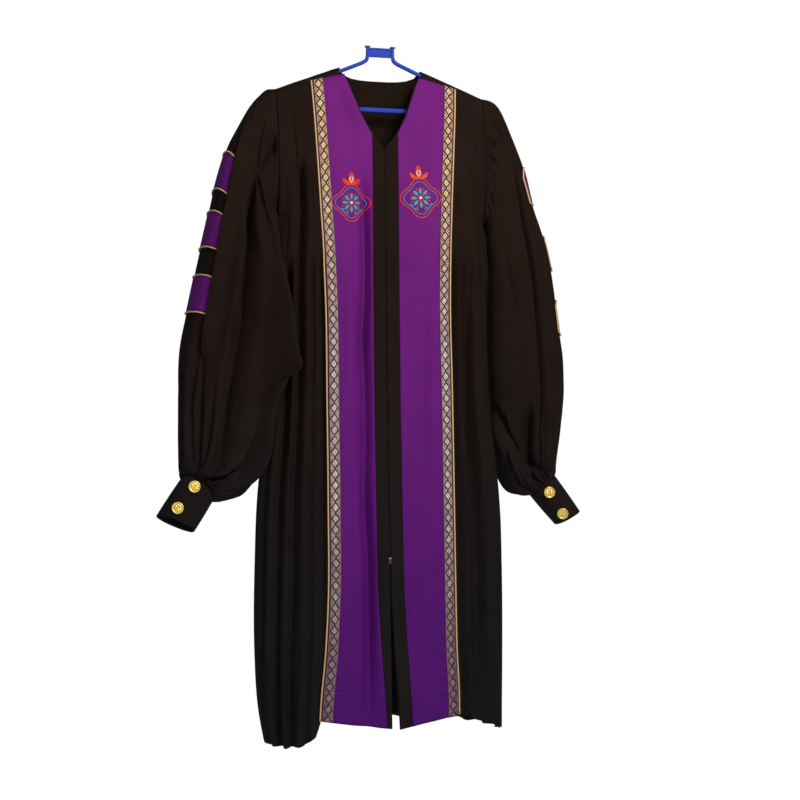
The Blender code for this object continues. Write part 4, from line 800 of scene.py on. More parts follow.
# Folds of a sleeve. Columns: place round at the high and low end (0 outer, 0.25 front,
# 0.5 inner, 0.75 back), rows where it starts, is full, holds to and ends, width round, and
# how far it moves the cloth inward to the body and forward.
SLEEVE_FOLDS = {
    -1: (
        (0.430, 0.425, 2.4, 9.4, 9.9, 11.0, 0.040, 0.0410, 0.0450),
        (0.455, 0.430, 8.5, 11.0, 11.8, 13.6, 0.045, 0.0240, 0.0420),
        (0.370, 0.340, 11.5, 13.2, 14.0, 14.9, 0.060, 0.0040, 0.0130),
        (0.480, 0.460, 0.5, 1.8, 3.6, 6.0, 0.055, 0.0110, 0.0120),
        (0.115, 0.130, 9.2, 10.8, 13.0, 15.0, 0.022, 0.0120, -0.0060),
        (0.590, 0.590, 1.0, 3.0, 8.0, 10.0, 0.050, 0.0160, 0.0000),
        (0.215, 0.190, 4.0, 8.0, 12.0, 14.5, 0.030, 0.0000, 0.0080),
        (0.700, 0.720, 3.5, 6.0, 11.0, 14.0, 0.030, 0.0000, 0.0260),
        (0.850, 0.840, 6.0, 9.0, 12.0, 14.5, 0.024, 0.0080, 0.0160),
    ),
    1: (
        (0.100, 0.100, 9.4, 11.0, 13.5, 14.8, 0.022, 0.0050, -0.0080),
        (0.600, 0.600, 1.0, 3.0, 9.0, 11.0, 0.045, 0.0100, 0.0000),
        (0.290, 0.280, 10.8, 12.0, 13.0, 14.4, 0.030, 0.0000, -0.0140),
        (0.430, 0.300, 10.6, 12.0, 13.4, 14.8, 0.030, 0.0000, 0.0110),
        (0.260, 0.250, 3.0, 6.0, 10.0, 12.0, 0.040, 0.0000, 0.0050),
        (0.560, 0.560, 4.0, 8.0, 12.0, 14.0, 0.045, 0.0050, -0.0120),
        (0.700, 0.720, 3.5, 6.0, 11.0, 14.0, 0.030, 0.0000, 0.0280),
        (0.860, 0.850, 6.0, 9.0, 12.0, 14.5, 0.024, 0.0080, 0.0160),
    ),
}
# Long troughs of a sleeve: rows, then place round, half width round and depth at each.
SLEEVE_TROUGHS = {
    -1: (
        ((3.2, 3.8, 4.8, 6.2, 8.2, 9.1, 10.0, 11.9, 13.6),
         (0.213, 0.222, 0.240, 0.285, 0.284, 0.293, 0.288, 0.262, 0.235),
         (0.006, 0.013, 0.024, 0.033, 0.028, 0.025, 0.021, 0.016, 0.010),
         (0.000, 0.018, 0.040, 0.056, 0.052, 0.046, 0.036, 0.020, 0.000)),
        ((1.4, 2.6, 3.6, 5.0, 7.0, 9.0, 11.0), (0.015, 0.015, 0.010, 0.010, 0.015, 0.020, 0.020),
         (0.080, 0.100, 0.120, 0.120, 0.120, 0.120, 0.120),
         (0.000, -0.007, -0.012, -0.010, -0.008, -0.007, 0.000)),
        ((8.6, 9.5, 11.2, 12.9, 14.2), (0.100, 0.086, 0.070, 0.088, 0.110),
         (0.014, 0.016, 0.016, 0.014, 0.010), (0.000, 0.009, 0.011, 0.009, 0.000)),
    ),
    1: (
        ((3.0, 3.9, 5.0, 6.0, 7.7, 11.0, 13.2, 14.6),
         (0.075, 0.135, 0.165, 0.185, 0.190, 0.195, 0.195, 0.200),
         (0.008, 0.009, 0.0095, 0.0095, 0.009, 0.009, 0.010, 0.010),
         (0.000, 0.019, 0.030, 0.030, 0.029, 0.026, 0.018, 0.000)),
        ((0.8, 1.8, 2.8, 3.8, 5.2), (0.010, 0.010, 0.010, 0.010, 0.010),
         (0.080, 0.090, 0.100, 0.100, 0.100), (0.000, -0.004, -0.007, -0.006, 0.000)),
    ),
}
# Laps low on the sleeves: rows, place round of the edge and share of height at each, then the
# side that lies on top (-1 towards the outside), its height and the depth beside it.
SLEEVE_LAPS = {
    -1: ((9.4, 9.9, 10.3, 11.4, 12.3, 13.4, 14.2),
         (0.450, 0.440, 0.412, 0.388, 0.345, 0.255, 0.185),
         (0.0, 0.7, 1.0, 1.0, 1.0, 0.8, 0.0), -1, 0.0110, 0.0210),
    1: ((10.8, 11.4, 12.0, 12.7, 13.4, 14.2), (0.480, 0.435, 0.360, 0.262, 0.180, 0.110),
        (0.0, 1.0, 1.0, 1.0, 0.7, 0.0), 1, 0.0100, 0.0180),
}
# Small creases of a sleeve: place round and row at both ends, half width round and depth. Those
# behind are alike on both sleeves.
BEHIND_CREASES = (
    (0.640, 0.6, 0.660, 3.8, 0.012, 0.0050), (0.740, 0.4, 0.760, 4.0, 0.012, 0.0050),
    (0.830, 0.4, 0.850, 3.4, 0.011, 0.0040), (0.920, 0.4, 0.930, 3.2, 0.010, 0.0034),
    (0.960, 10.8, 0.950, 14.4, 0.010, 0.0040), (0.600, 10.8, 0.620, 14.2, 0.014, 0.0055),
    (0.560, 4.0, 0.600, 8.6, 0.018, 0.0060), (0.700, 12.0, 0.700, 14.4, 0.010, 0.0045),
)
SLEEVE_CREASES = {
    -1: (
        (0.110, 1.2, 0.212, 3.5, 0.010, 0.0085), (0.238, 1.0, 0.214, 3.5, 0.010, 0.0075),
        (0.018, 1.9, 0.048, 2.8, 0.008, 0.0036), (0.192, -0.6, 0.186, 1.6, 0.034, 0.0200),
        (0.105, -0.4, 0.100, 2.3, 0.036, -0.0060), (0.170, 0.2, 0.185, 2.4, 0.012, 0.0030),
        (0.300, 0.2, 0.285, 2.6, 0.012, 0.0036), (0.205, 3.25, 0.330, 3.75, 0.012, 0.0120),
        (0.290, 3.50, 0.400, 4.10, 0.012, 0.0110), (0.375, 3.3, 0.392, 6.2, 0.014, 0.0090),
        (0.200, 8.9, 0.262, 10.3, 0.010, 0.0060), (0.320, 10.0, 0.250, 13.0, 0.012, 0.0050),
        (0.460, 9.2, 0.275, 12.0, 0.004, 0.0022), (0.180, 10.6, 0.150, 14.0, 0.011, 0.0050),
        (0.020, 10.4, 0.030, 14.2, 0.010, 0.0030), (0.230, 11.6, 0.205, 14.4, 0.010, 0.0050),
        (0.400, 11.0, 0.350, 13.4, 0.014, 0.0060), (0.470, 11.2, 0.420, 13.8, 0.012, 0.0050),
        (0.120, 11.4, 0.118, 14.4, 0.008, 0.0036), (0.320, 12.4, 0.300, 14.4, 0.010, 0.0046),
        (0.780, 5.0, 0.820, 9.6, 0.020, 0.0080), (0.660, 8.8, 0.720, 12.8, 0.018, 0.0075),
        (0.800, 10.6, 0.780, 14.2, 0.013, 0.0060), (0.900, 9.8, 0.890, 14.2, 0.013, 0.0055),
    ) + BEHIND_CREASES,
    1: (
        (0.034, 0.2, 0.050, 3.2, 0.0110, 0.0130), (0.062, -0.2, 0.112, 3.2, 0.0110, 0.0140),
        (0.026, 2.4, 0.064, 4.0, 0.010, 0.0100), (0.145, -0.4, 0.155, 1.8, 0.014, 0.0120),
        (0.225, 0.0, 0.215, 1.8, 0.014, 0.0050), (0.300, 0.3, 0.290, 2.4, 0.012, 0.0040),
        (0.375, 0.3, 0.350, 3.4, 0.012, 0.0040), (0.450, 8.2, 0.290, 8.4, 0.008, 0.0030),
        (0.030, 9.6, 0.040, 14.0, 0.011, 0.0045), (0.150, 10.8, 0.160, 14.4, 0.012, 0.0055),
        (0.262, 10.9, 0.255, 13.0, 0.020, 0.0120), (0.160, 11.2, 0.150, 12.0, 0.014, 0.0080),
        (0.350, 12.0, 0.330, 14.4, 0.011, 0.0050),
        (0.120, 6.0, 0.140, 9.6, 0.014, 0.0030), (0.330, 5.0, 0.300, 8.0, 0.016, 0.0034),
        (0.460, 10.8, 0.270, 13.0, 0.006, 0.0030), (0.410, 11.0, 0.360, 14.0, 0.012, 0.0050),
        (0.780, 5.4, 0.810, 9.8, 0.020, 0.0080), (0.670, 8.6, 0.710, 12.6, 0.018, 0.0075),
        (0.800, 10.4, 0.790, 14.2, 0.013, 0.0060), (0.900, 9.6, 0.895, 14.2, 0.013, 0.0055),
    ) + BEHIND_CREASES,
}
# The fold of the wearer's right sleeve that laps outward over the front ends of its bars:
# rows, place where it lifts, and its share; then its width round, lap and height.
LAP_ROWS = (2.6, 3.2, 3.7, 4.2, 5.0, 9.4, 10.4, 11.6, 12.8)
LAP_FROM = (0.030, 0.052, 0.082, 0.100, 0.112, 0.112, 0.118, 0.124, 0.126)
LAP_SHARE = (0.00, 0.45, 0.85, 1.00, 1.00, 1.00, 0.75, 0.35, 0.00)
LAP_WIDTH = 0.058
LAP_REACH = 0.0150
LAP_HEIGHT = 0.0072
# Where the lap stands highest across its width.
LAP_CREST = 0.25
# Makes the largest value of q (1 - q) squared, the slide across the lap, come to 1.
LAP_SCALE = 6.75
# Gathers round a sleeve at its head and at the cuff: their number, height and share by row;
# how uneven they are round it as middle, swing and the place where they are highest; and how
# their phase wanders as amplitude, half turns and start, with a slant from row to row.
HEAD_GATHERS = 20
HEAD_GATHER = 0.0026
HEAD_GROWTH = ((0.0, 0.5, 1.2, 2.2, 3.4), (0.35, 1.0, 0.9, 0.5, 0.0))
HEAD_UNEVEN = (0.65, 0.35, 0.22)
HEAD_WANDER = (0.30, 6.1, 0.5)
CUFF_GATHERS = 22
CUFF_GATHER = 0.0036
CUFF_GROWTH = ((11.8, 13.2, 14.3, 14.7, 15.0), (0.0, 0.7, 1.0, 0.6, 0.0))
CUFF_UNEVEN = (0.75, 0.25, -0.17 / 3)
CUFF_WANDER = (0.35, 8.0, 0.0)
CUFF_SLANT = 0.03
# Rows to one turn round a sleeve, so that a crease is as wide along as it is round.
ROWS_ROUND = 10
# Widths round a low lap: of its step, of the cloth that rises on it and of that beside it.
STEP_WIDTH = 0.006
STEP_RISE_WIDTH = 0.075
STEP_FALL_WIDTH = 0.036
# Rows over which creases fade in at the head and out at the cuff, and over which they deepen
# by a share low on the sleeve.
CREASE_HEAD_ROWS = (0.0, 0.6)
CREASE_CUFF_ROWS = (14.5, 15.0)
CREASE_LOW_ROWS = (7.5, 9.5)
CREASE_LOW_GAIN = 0.6
# Limit of the place between front and back in half depths, for skew and tilt.
FRONT_LIMIT = 1.2
# Step round the sleeve at which its direction round is taken.
SLEEVE_STEP = 0.003
# Places at which the run round an oval and down an armhole is added up.
RING_SAMPLES = 361
ARMHOLE_SAMPLES = 160
CUFF_SQUARE = 2.3


def armhole_ring(around):
    """Armhole outline by share of its run: height share, -1 under the arm to 1, and depth."""
    z = np.linspace(SHOULDER_Z, UNDERARM_Z, ARMHOLE_SAMPLES)
    drop = ridge_z(SHOULDER_END) - z
    front, back = (np.interp(drop, DEPTH["drop"], DEPTH[key]) * armhole_share(z)
                   for key in ("front", "back"))
    ring = np.concatenate((np.stack([z, -front], axis=-1),
                           np.stack([z, back], axis=-1)[::-1][1:]))
    run = run_along(ring)
    middle = (SHOULDER_Z + UNDERARM_Z) / 2
    z = np.interp(around * run[-1], run, ring[:, 0])
    return (z - middle) / (SHOULDER_Z - middle), np.interp(around * run[-1], run, ring[:, 1])


def oval_ring(around, half_width, half_depth, square):
    """Evenly spaced points of a squared oval, 0 at its outer end, then front, inner, back."""
    u, v = squared(np.linspace(0, 2 * math.pi, RING_SAMPLES), square)
    run = run_along(np.stack([u * half_width, v * half_depth], axis=-1))
    return np.interp(around * run[-1], run, u), np.interp(around * run[-1], run, v)


def round_gap(around, place):
    """Distance round a ring as a share of it, the shorter way."""
    away = np.abs(around - place)
    return np.minimum(away, 1 - away)


def gathers(around, count, wander, shift=0.0):
    """Cosine ripples round a ring whose phase wanders by a sine of the turn."""
    size, turns, start = wander
    phase = count * around + size * np.sin(turns * around * math.pi + start) + shift
    return np.cos(2 * math.pi * phase)


def unevenness(around, waves, uneven):
    """Share between gathers of a ring: a middle and a cosine swing round a place."""
    middle, swing, place = uneven
    return middle + swing * np.cos(2 * math.pi * waves * (around - place))


def sleeve_plain(side, rows, around):
    """Sleeve surface at fractional rows and shares round: ovals between the outer and inner
    outline, moved by bell-shaped folds, the gathers of head and cuff, creases, troughs and a
    low lap with a step of a hyperbolic tangent."""
    data = SLEEVE[side]
    index = np.arange(len(data["outer_x"]), dtype=float)
    value = {name: column(smooth(rows, index, data[name])) for name in data}
    rows = column(rows)
    outer = np.concatenate((value["outer_x"], value["outer_z"]), axis=1)
    inner = np.concatenate((value["inner_x"], value["inner_z"]), axis=1)
    centre = (outer + inner) / 2
    half = np.linalg.norm(outer - inner, axis=1, keepdims=True) / 2
    way = (outer - inner) / (2 * half)
    rings = np.array([oval_ring(around, h, d, q) for h, d, q in
                      zip(half[:, 0], value["half_depth"][:, 0], value["square"][:, 0])])
    hole_u, hole_y = armhole_ring(around)
    mix = value["armhole"]
    u = rings[:, 0] * (1 - mix) + hole_u * mix
    y = (value["mid_y"] - value["half_depth"] * rings[:, 1]) * (1 - mix) + hole_y * mix
    down = np.stack([way[:, 1], -way[:, 0]], axis=1) * side
    front = (value["mid_y"] - y) / value["half_depth"]
    front = np.clip(front, -FRONT_LIMIT, FRONT_LIMIT)
    x = centre[:, :1] + way[:, :1] * half * u
    x = x - side * value["skew"] * front - down[:, :1] * value["tilt"] * front
    z = centre[:, 1:] + way[:, 1:] * half * u - down[:, 1:] * value["tilt"] * front
    for high, low, start, full, hold, end, width, inward, forward in SLEEVE_FOLDS[side]:
        place = high + (low - high) * np.clip((rows - start) / (end - start), 0, 1)
        near = ramp(rows, start, full) * (1 - ramp(rows, hold, end))
        near = near * bell(round_gap(around, place), width)
        x = x - side * inward * near
        y = y - forward * near
    head = HEAD_GATHER * np.interp(rows, *HEAD_GROWTH) * unevenness(around, 2, HEAD_UNEVEN)
    cuff = CUFF_GATHER * np.interp(rows, *CUFF_GROWTH) * unevenness(around, 3, CUFF_UNEVEN)
    ripple = head * gathers(around, HEAD_GATHERS, HEAD_WANDER)
    ripple = ripple + cuff * gathers(around, CUFF_GATHERS, CUFF_WANDER, CUFF_SLANT * rows)
    inside = ramp(rows, *CREASE_HEAD_ROWS) * (1 - ramp(rows, *CREASE_CUFF_ROWS))
    lines = np.array(SLEEVE_CREASES[side]) * (ROWS_ROUND, 1, ROWS_ROUND, 1, ROWS_ROUND, 1)
    low = 1 + CREASE_LOW_GAIN * ramp(rows, *CREASE_LOW_ROWS)
    ripple = ripple - inside * low * crease(around * ROWS_ROUND, rows, lines)
    for at, place, half, deep in SLEEVE_TROUGHS[side]:
        off = round_gap(around, np.interp(rows, at, place))
        ripple = ripple - np.interp(rows, at, deep) * bell(off, np.interp(rows, at, half))
    at, place, share, top, high, deep = SLEEVE_LAPS[side]
    off = (around - np.interp(rows, at, place)) * top
    over = 0.5 + 0.5 * np.tanh(off / STEP_WIDTH)
    step = over * high * bell(off, STEP_RISE_WIDTH)
    step = step - (1 - over) * deep * bell(off, STEP_FALL_WIDTH)
    ripple = ripple + np.interp(rows, at, share) * step
    away = np.stack([x - centre[:, :1], y - value["mid_y"], z - centre[:, 1:]], axis=-1)
    return np.stack([x, y, z], axis=-1) + unit(away) * ripple[..., None]


def sleeve_cloth(side, rows, around):
    """Sleeve surface with the lapping fold: cloth past a line is slid back over it along the
    surface by a skewed hump, and lifted off it by a quick rise and a slow fall."""
    points = sleeve_plain(side, rows, around)
    if side > 0:
        return points
    round_way = unit(sleeve_plain(side, rows, around + SLEEVE_STEP)
                     - sleeve_plain(side, rows, around - SLEEVE_STEP))
    down = unit(np.gradient(points, axis=0))
    lift = turned(unit(np.cross(round_way, down)), points - points.mean(axis=1, keepdims=True))
    wide = column(rows)
    q = np.clip((around - np.interp(wide, LAP_ROWS, LAP_FROM)) / LAP_WIDTH, 0, 1)
    share = np.interp(wide, LAP_ROWS, LAP_SHARE)
    back = share * LAP_REACH * LAP_SCALE * q * (1 - q) ** 2
    rise = np.where(q < LAP_CREST, 1 - (1 - q / LAP_CREST) ** 2, 1 - ramp(q, LAP_CREST, 1.0))
    return points - round_way * back[..., None] + lift * (share * LAP_HEIGHT * rise)[..., None]


CUFF_NAMES = ("outer_x", "outer_z", "inner_x", "inner_z", "mid_y", "half_depth", "tilt")
CUFF = {
    -1: table(CUFF_NAMES, (
        (-0.3932, -0.8339, -0.3343, -0.8807, -0.010, 0.0260, 0.016),
        (-0.4418, -0.9068, -0.3700, -0.9396, -0.012, 0.0280, 0.008),
    )),
    1: table(CUFF_NAMES, (
        (0.3724, -0.8425, 0.3218, -0.8822, 0.016, 0.0360, 0.005),
        (0.4225, -0.9145, 0.3745, -0.9420, 0.010, 0.0380, 0.004),
    )),
}
CUFF_CLOTH = 0.0026


def cuff_cloth(side, down, around):
    """Cuff surface at shares down and round: ovals between its two edges."""
    rows = []
    for t in down:
        value = {name: a[0] + (a[1] - a[0]) * t for name, a in CUFF[side].items()}
        outer = np.array([value["outer_x"], value["outer_z"]])
        inner = np.array([value["inner_x"], value["inner_z"]])
        centre = (outer + inner) / 2
        half = np.linalg.norm(outer - inner) / 2
        way = (outer - inner) / (2 * half)
        u, v = oval_ring(around, half, value["half_depth"], CUFF_SQUARE)
        fall = np.array([way[1], -way[0]]) * side
        x = centre[0] + way[0] * half * u - fall[0] * value["tilt"] * v
        z = centre[1] + way[1] * half * u - fall[1] * value["tilt"] * v
        rows.append(np.stack([x, value["mid_y"] - value["half_depth"] * v, z], axis=-1))
    return np.array(rows)


# Materials.

def paint(code):
    """Linear colour of an sRGB hex code."""
    parts = [int(code[k:k + 2], 16) / 255 for k in (1, 3, 5)]
    return tuple(p / 12.92 if p <= 0.04045 else ((p + 0.055) / 1.055) ** 2.4
                 for p in parts) + (1.0,)


def add(tree, kind, settings=None, inputs=None):
    """Adds a shader node with its settings; an input that is a socket is linked."""
    made = tree.nodes.new(kind)
    for key, value in (settings or {}).items():
        setattr(made, key, value)
    for key, value in (inputs or {}).items():
        if isinstance(value, bpy.types.NodeSocket):
            tree.links.new(value, made.inputs[key])
        else:
            made.inputs[key].default_value = value
    return made


def math_of(tree, operation, *values):
    made = add(tree, "ShaderNodeMath", {"operation": operation}, dict(enumerate(values)))
    return made.outputs[0]


def mix_of(tree, factor, low, high, blend="MIX"):
    return add(tree, "ShaderNodeMix", {"data_type": "RGBA", "blend_type": blend},
               {0: factor, 6: low, 7: high}).outputs[2]


def start_material(name):
    made = bpy.data.materials.new(name)
    made.use_nodes = True
    tree = made.node_tree
    return made, tree, tree.nodes["Principled BSDF"], add(tree, "ShaderNodeTexCoord")


def run_of(tree, place):
    """A cloth's own lengths across and along, from its UV."""
    return add(tree, "ShaderNodeSeparateXYZ", {}, {0: place.outputs["UV"]}).outputs


def noise_of(tree, place, scale, detail=2.0, rough=0.5):
    return add(tree, "ShaderNodeTexNoise", {}, {
        "Vector": place, "Scale": scale, "Detail": detail, "Roughness": rough}).outputs["Fac"]


def set_up(shader, **values):
    for key, value in values.items():
        shader.inputs[key.replace("_", " ")].default_value = value


def bump_of(tree, height, strength, distance, below=None):
    inputs = {"Height": height, "Strength": strength, "Distance": distance}
    if below is not None:
        inputs["Normal"] = below
    return add(tree, "ShaderNodeBump", {}, inputs).outputs["Normal"]


def lines_of(tree, value, pitch):
    """Rounded ridges, 0 to 1, across a coordinate at a pitch in metres."""
    turn = math_of(tree, "MULTIPLY", value, 2 * math.pi / pitch)
    return math_of(tree, "MULTIPLY_ADD", math_of(tree, "SINE", turn), 0.5, 0.5)


def painted_light_falloff(tree, place, top, low, spread=None):
    """Share of the lower tone of a painted falloff of the light: 0 above the height top, 1 below
    the height low.
    """
    high = add(tree, "ShaderNodeSeparateXYZ", {}, {0: place.outputs["Object"]}).outputs[2]
    if spread is not None:
        high = math_of(tree, "MULTIPLY_ADD", spread, 0.25, high)
    return add(tree, "ShaderNodeMapRange", {}, {
        "Value": high, "From Min": top, "From Max": low}).outputs[0]


def cloth_material(name, dark, light, rough, sheen, pitch, sheen_tint):
    """Twill cloth: diagonal ridges on the cloth's own lengths, soft rumpling and slow mottling
    in object space."""
    made, tree, shader, place = start_material(name)
    run = run_of(tree, place)
    ridge = lines_of(tree, math_of(tree, "ADD", run[0], run[1]), pitch)
    across = lines_of(tree, math_of(tree, "SUBTRACT", run[0], run[1]), pitch * 0.5)
    weave = math_of(tree, "MULTIPLY_ADD", across, 0.25, ridge)
    rumple = noise_of(tree, place.outputs["Object"], 26.0, 3.0, 0.55)
    mottle = noise_of(tree, place.outputs["Object"], 9.0, 4.0, 0.6)
    fine = noise_of(tree, place.outputs["Object"], 700.0, 2.0, 0.6)
    level = math_of(tree, "MULTIPLY_ADD", mottle, 0.75, math_of(tree, "MULTIPLY", ridge, 0.18))
    level = math_of(tree, "MULTIPLY_ADD", fine, 0.20, level)
    base = mix_of(tree, level, paint(dark), paint(light))
    tree.links.new(base, shader.inputs["Base Color"])
    soft = bump_of(tree, rumple, 0.55, 0.004)
    tree.links.new(bump_of(tree, weave, 0.35, 0.00025, soft), shader.inputs["Normal"])
    set_up(shader, Roughness=rough, IOR=1.45, Specular_IOR_Level=0.10, Sheen_Weight=sheen,
           Sheen_Roughness=0.45, Sheen_Tint=paint(sheen_tint))
    return made, tree, shader, level, base, place


# Woven black polyester, twill at 1.2 mm though the real one is finer, so that it shows; a
# matte, slightly brown black with a faint bloom. Its turn to a greyer black towards the hem
# is painted light, a cooler light lower down painted into the colour.
BLACK, tree, shader, level, base, place = cloth_material(
    "black polyester twill", "#120b08", "#271a14", 0.80, 0.03, 0.0012, "#8a7f7a")
# Painted light: the greyer black mixed in below the chest stands in for cooler light towards the
# hem.
painted_cool_base = mix_of(tree, level, paint("#110f0f"), paint("#232020"))
painted_falloff_share = painted_light_falloff(tree, place, -0.40, -1.05)
tree.links.new(mix_of(tree, painted_falloff_share, base, painted_cool_base), shader.inputs["Base Color"])

# Dyed purple polyester of the same weave, smoother to the light. Towards the hem it is painted
# darker and bluer, painted shade standing in for the warm light falling off from the neck down.
PURPLE, tree, shader, _, base, place = cloth_material(
    "purple polyester panel", "#5d166c", "#7c2087", 0.62, 0.06, 0.0011, "#c58fd0")
painted_falloff_share = painted_light_falloff(tree, place, -0.25, -1.30)
painted_falloff_tint = mix_of(tree, painted_falloff_share, base, paint("#c4c8f4"), "MULTIPLY")
tree.links.new(painted_falloff_tint, shader.inputs["Base Color"])

# The ribbon's figure. Lengths out from its middle in mm: where a diamond comes to its point,
# where the leaves end, the dotted line and its half width, and the plain stripe.
RIBBON_WIDE = RIBBON_INNER - RIBBON_OUTER
DIAMOND_POINT = 8.2
LEAF_END = 8.1
DOTS_OUT = 8.45
DOTS_HALF = 0.35
STRIPE_OUT = 8.85
# Lengths along it: diamonds in mm, dashes and dots in metres, then the share of each that shows.
DIAMOND_PITCH = 21.4
DASH_PITCH = 0.0054
DASH_SHARE = 0.42
DOT_PITCH = 0.0030
DOT_SHARE = 0.45
# Sums of the shares out and along, 0 in the middle of a diamond and 2 between two at the edge:
# the diamond's edge, the leaf's, and the middle and half width of the leaf's vein.
DIAMOND_EDGE = 0.70
LEAF_EDGE = 1.16
VEIN_MIDDLE = 1.50
VEIN_HALF = 0.10


def ribbon_material():
    """Brocade ribbon on its own UV, u across and v along in metres: on a dark purple ground a
    row of gold diamonds filled with short dashes, gold leaves beside them, dark lines crossing
    between them, a dotted line and a plain stripe along each edge. The gold is lamé thread; its
    colour is painted brighter and golder near the top, a painted highlight, and painted duller
    and darker lower down, painted shade."""
    made, tree, shader, place = start_material("gold and purple brocade ribbon")
    run = run_of(tree, place)

    def of(operation, *values):
        return math_of(tree, operation, *values)

    out = of("ABSOLUTE", of("MULTIPLY", run[0], MM))
    turn = of("FRACT", of("DIVIDE", of("MULTIPLY", run[1], MM), DIAMOND_PITCH))
    step = of("MULTIPLY", of("ABSOLUTE", of("SUBTRACT", turn, 0.5)), DIAMOND_PITCH)
    far = of("ADD", of("DIVIDE", out, DIAMOND_POINT), of("DIVIDE", step, DIAMOND_PITCH / 2))
    diamond = of("LESS_THAN", far, DIAMOND_EDGE)
    leaf = of("MULTIPLY", of("GREATER_THAN", far, LEAF_EDGE), of("LESS_THAN", out, LEAF_END))
    vein = of("ABSOLUTE", of("SUBTRACT", far, VEIN_MIDDLE))
    leaf = of("MULTIPLY", leaf, of("GREATER_THAN", vein, VEIN_HALF))
    dash = of("MULTIPLY", lines_of(tree, of("ADD", run[0], run[1]), DASH_PITCH),
              lines_of(tree, of("SUBTRACT", run[0], run[1]), DASH_PITCH))
    gold = of("MULTIPLY", of("MAXIMUM", diamond, leaf), of("LESS_THAN", dash, DASH_SHARE))
    dots = of("GREATER_THAN", lines_of(tree, run[1], DOT_PITCH), DOT_SHARE)
    dots = of("MULTIPLY", dots, of("COMPARE", out, DOTS_OUT, DOTS_HALF))
    stripe = of("GREATER_THAN", out, STRIPE_OUT)
    worn = noise_of(tree, place.outputs["Object"], 160.0, 3.0, 0.6)
    slow = noise_of(tree, place.outputs["Object"], 14.0, 2.0, 0.6)
    level = of("MULTIPLY_ADD", slow, 0.9, of("MULTIPLY_ADD", worn, 1.3, -0.50))
    # Painted highlight: the lamé is golder and brighter near the top and duller lower down,
    # standing in for the light's falloff.
    painted_falloff_share = painted_light_falloff(tree, place, -0.10, -0.42, slow)
    dark = mix_of(tree, painted_falloff_share, paint("#ffb050"), paint("#b89484"))
    bright = mix_of(tree, painted_falloff_share, paint("#fff0b4"), paint("#fff2dc"))
    lame = mix_of(tree, level, dark, bright)
    # Painted shade: lower still the lamé is multiplied darker.
    painted_shade_share = painted_light_falloff(tree, place, -0.74, -1.02, slow)
    lame = mix_of(tree, painted_shade_share, lame, paint("#bca8b4"), "MULTIPLY")
    shade = mix_of(tree, gold, paint("#2c0c3e"), lame)
    shade = mix_of(tree, dots, shade, paint("#d0a488"))
    shade = mix_of(tree, stripe, shade, paint("#63405c"))
    tree.links.new(shade, shader.inputs["Base Color"])
    tree.links.new(of("MULTIPLY", gold, 0.10), shader.inputs["Metallic"])
    figure = of("MULTIPLY_ADD", gold, 1.2, lines_of(tree, run[1], 0.0008))
    tree.links.new(bump_of(tree, figure, 0.5, 0.0003), shader.inputs["Normal"])
    set_up(shader, Roughness=0.45, IOR=1.5, Specular_IOR_Level=0.35)
    return made


# Brocade trim; the figure is common to such ribbons, the thread ridges are drawn at 0.8 mm.
BROCADE = ribbon_material()


def thread_material(name, dark, light, pitch, rough, sheen):
    """Close-lying satin threads that cross a strip: ridges along its UV run."""
    made, tree, shader, place = start_material(name)
    ridge = lines_of(tree, run_of(tree, place)[1], pitch)
    worn = noise_of(tree, place.outputs["Object"], 300.0, 2.0, 0.6)
    level = math_of(tree, "MULTIPLY_ADD", worn, 0.6, math_of(tree, "MULTIPLY", ridge, 0.4))
    tree.links.new(mix_of(tree, level, paint(dark), paint(light)), shader.inputs["Base Color"])
    tree.links.new(bump_of(tree, ridge, 0.6, 0.0002), shader.inputs["Normal"])
    set_up(shader, Roughness=rough, IOR=1.5, Specular_IOR_Level=0.5, Sheen_Weight=sheen)
    return made


# Satin bias tape round a cord, pulled smooth; fine cross threads and a soft gleam.
PIPING = thread_material("pale gold satin piping", "#c08f3e", "#ffe2a0", 0.0012, 0.38, 0.2)
# Rayon embroidery thread laid side by side as satin stitch, 0.9 mm so that it shows.
RED_THREAD = thread_material("red embroidery thread", "#c01204", "#f22a0a", 0.0009, 0.40, 0.1)
TEAL_THREAD = thread_material("teal embroidery thread", "#2d7288", "#5bb0c4", 0.0009, 0.40, 0.1)
WHITE_THREAD = thread_material("white embroidery thread", "#c9c4bb", "#f6f3ea", 0.0009, 0.42, 0.1)
# Twisted polyester sewing thread, a little glossier than the cloth that it holds.
BLACK_THREAD = thread_material("black sewing thread", "#0b0807", "#1a1411", 0.0010, 0.75, 0.0)
PURPLE_THREAD = thread_material("purple sewing thread", "#3c1250", "#6a2a7c", 0.0010, 0.50, 0.1)
# Woven zip tape: close herringbone, flat black.
TAPE, *_ = cloth_material(
    "black woven zip tape", "#100d0c", "#241e1b", 0.70, 0.05, 0.0010, "#8a7f7a")


def solid_material(name, dark, light, metallic, rough, ior, grain, depth, level=0.5):
    """A moulded or cast solid: slow mottling of its colour, a fine grain in relief and in its
    roughness, between a low and a high."""
    made, tree, shader, place = start_material(name)
    slow = noise_of(tree, place.outputs["Object"], 60.0, 3.0, 0.6)
    fine = noise_of(tree, place.outputs["Object"], grain, 2.0, 0.5)
    tree.links.new(mix_of(tree, slow, paint(dark), paint(light)), shader.inputs["Base Color"])
    tree.links.new(add(tree, "ShaderNodeMapRange", {}, {
        "Value": fine, "To Min": rough[0], "To Max": rough[1]}).outputs[0],
        shader.inputs["Roughness"])
    tree.links.new(bump_of(tree, fine, 0.3, depth), shader.inputs["Normal"])
    set_up(shader, Metallic=metallic, IOR=ior, Specular_IOR_Level=level)
    return made


# Die-cast buttons with a polished gold-coloured plating: bright rim, softly worn face.
GOLD = solid_material("gold plated button", "#ffca3c", "#ffee98", 0.55, (0.24, 0.32), 1.5,
                      900.0, 0.00002)
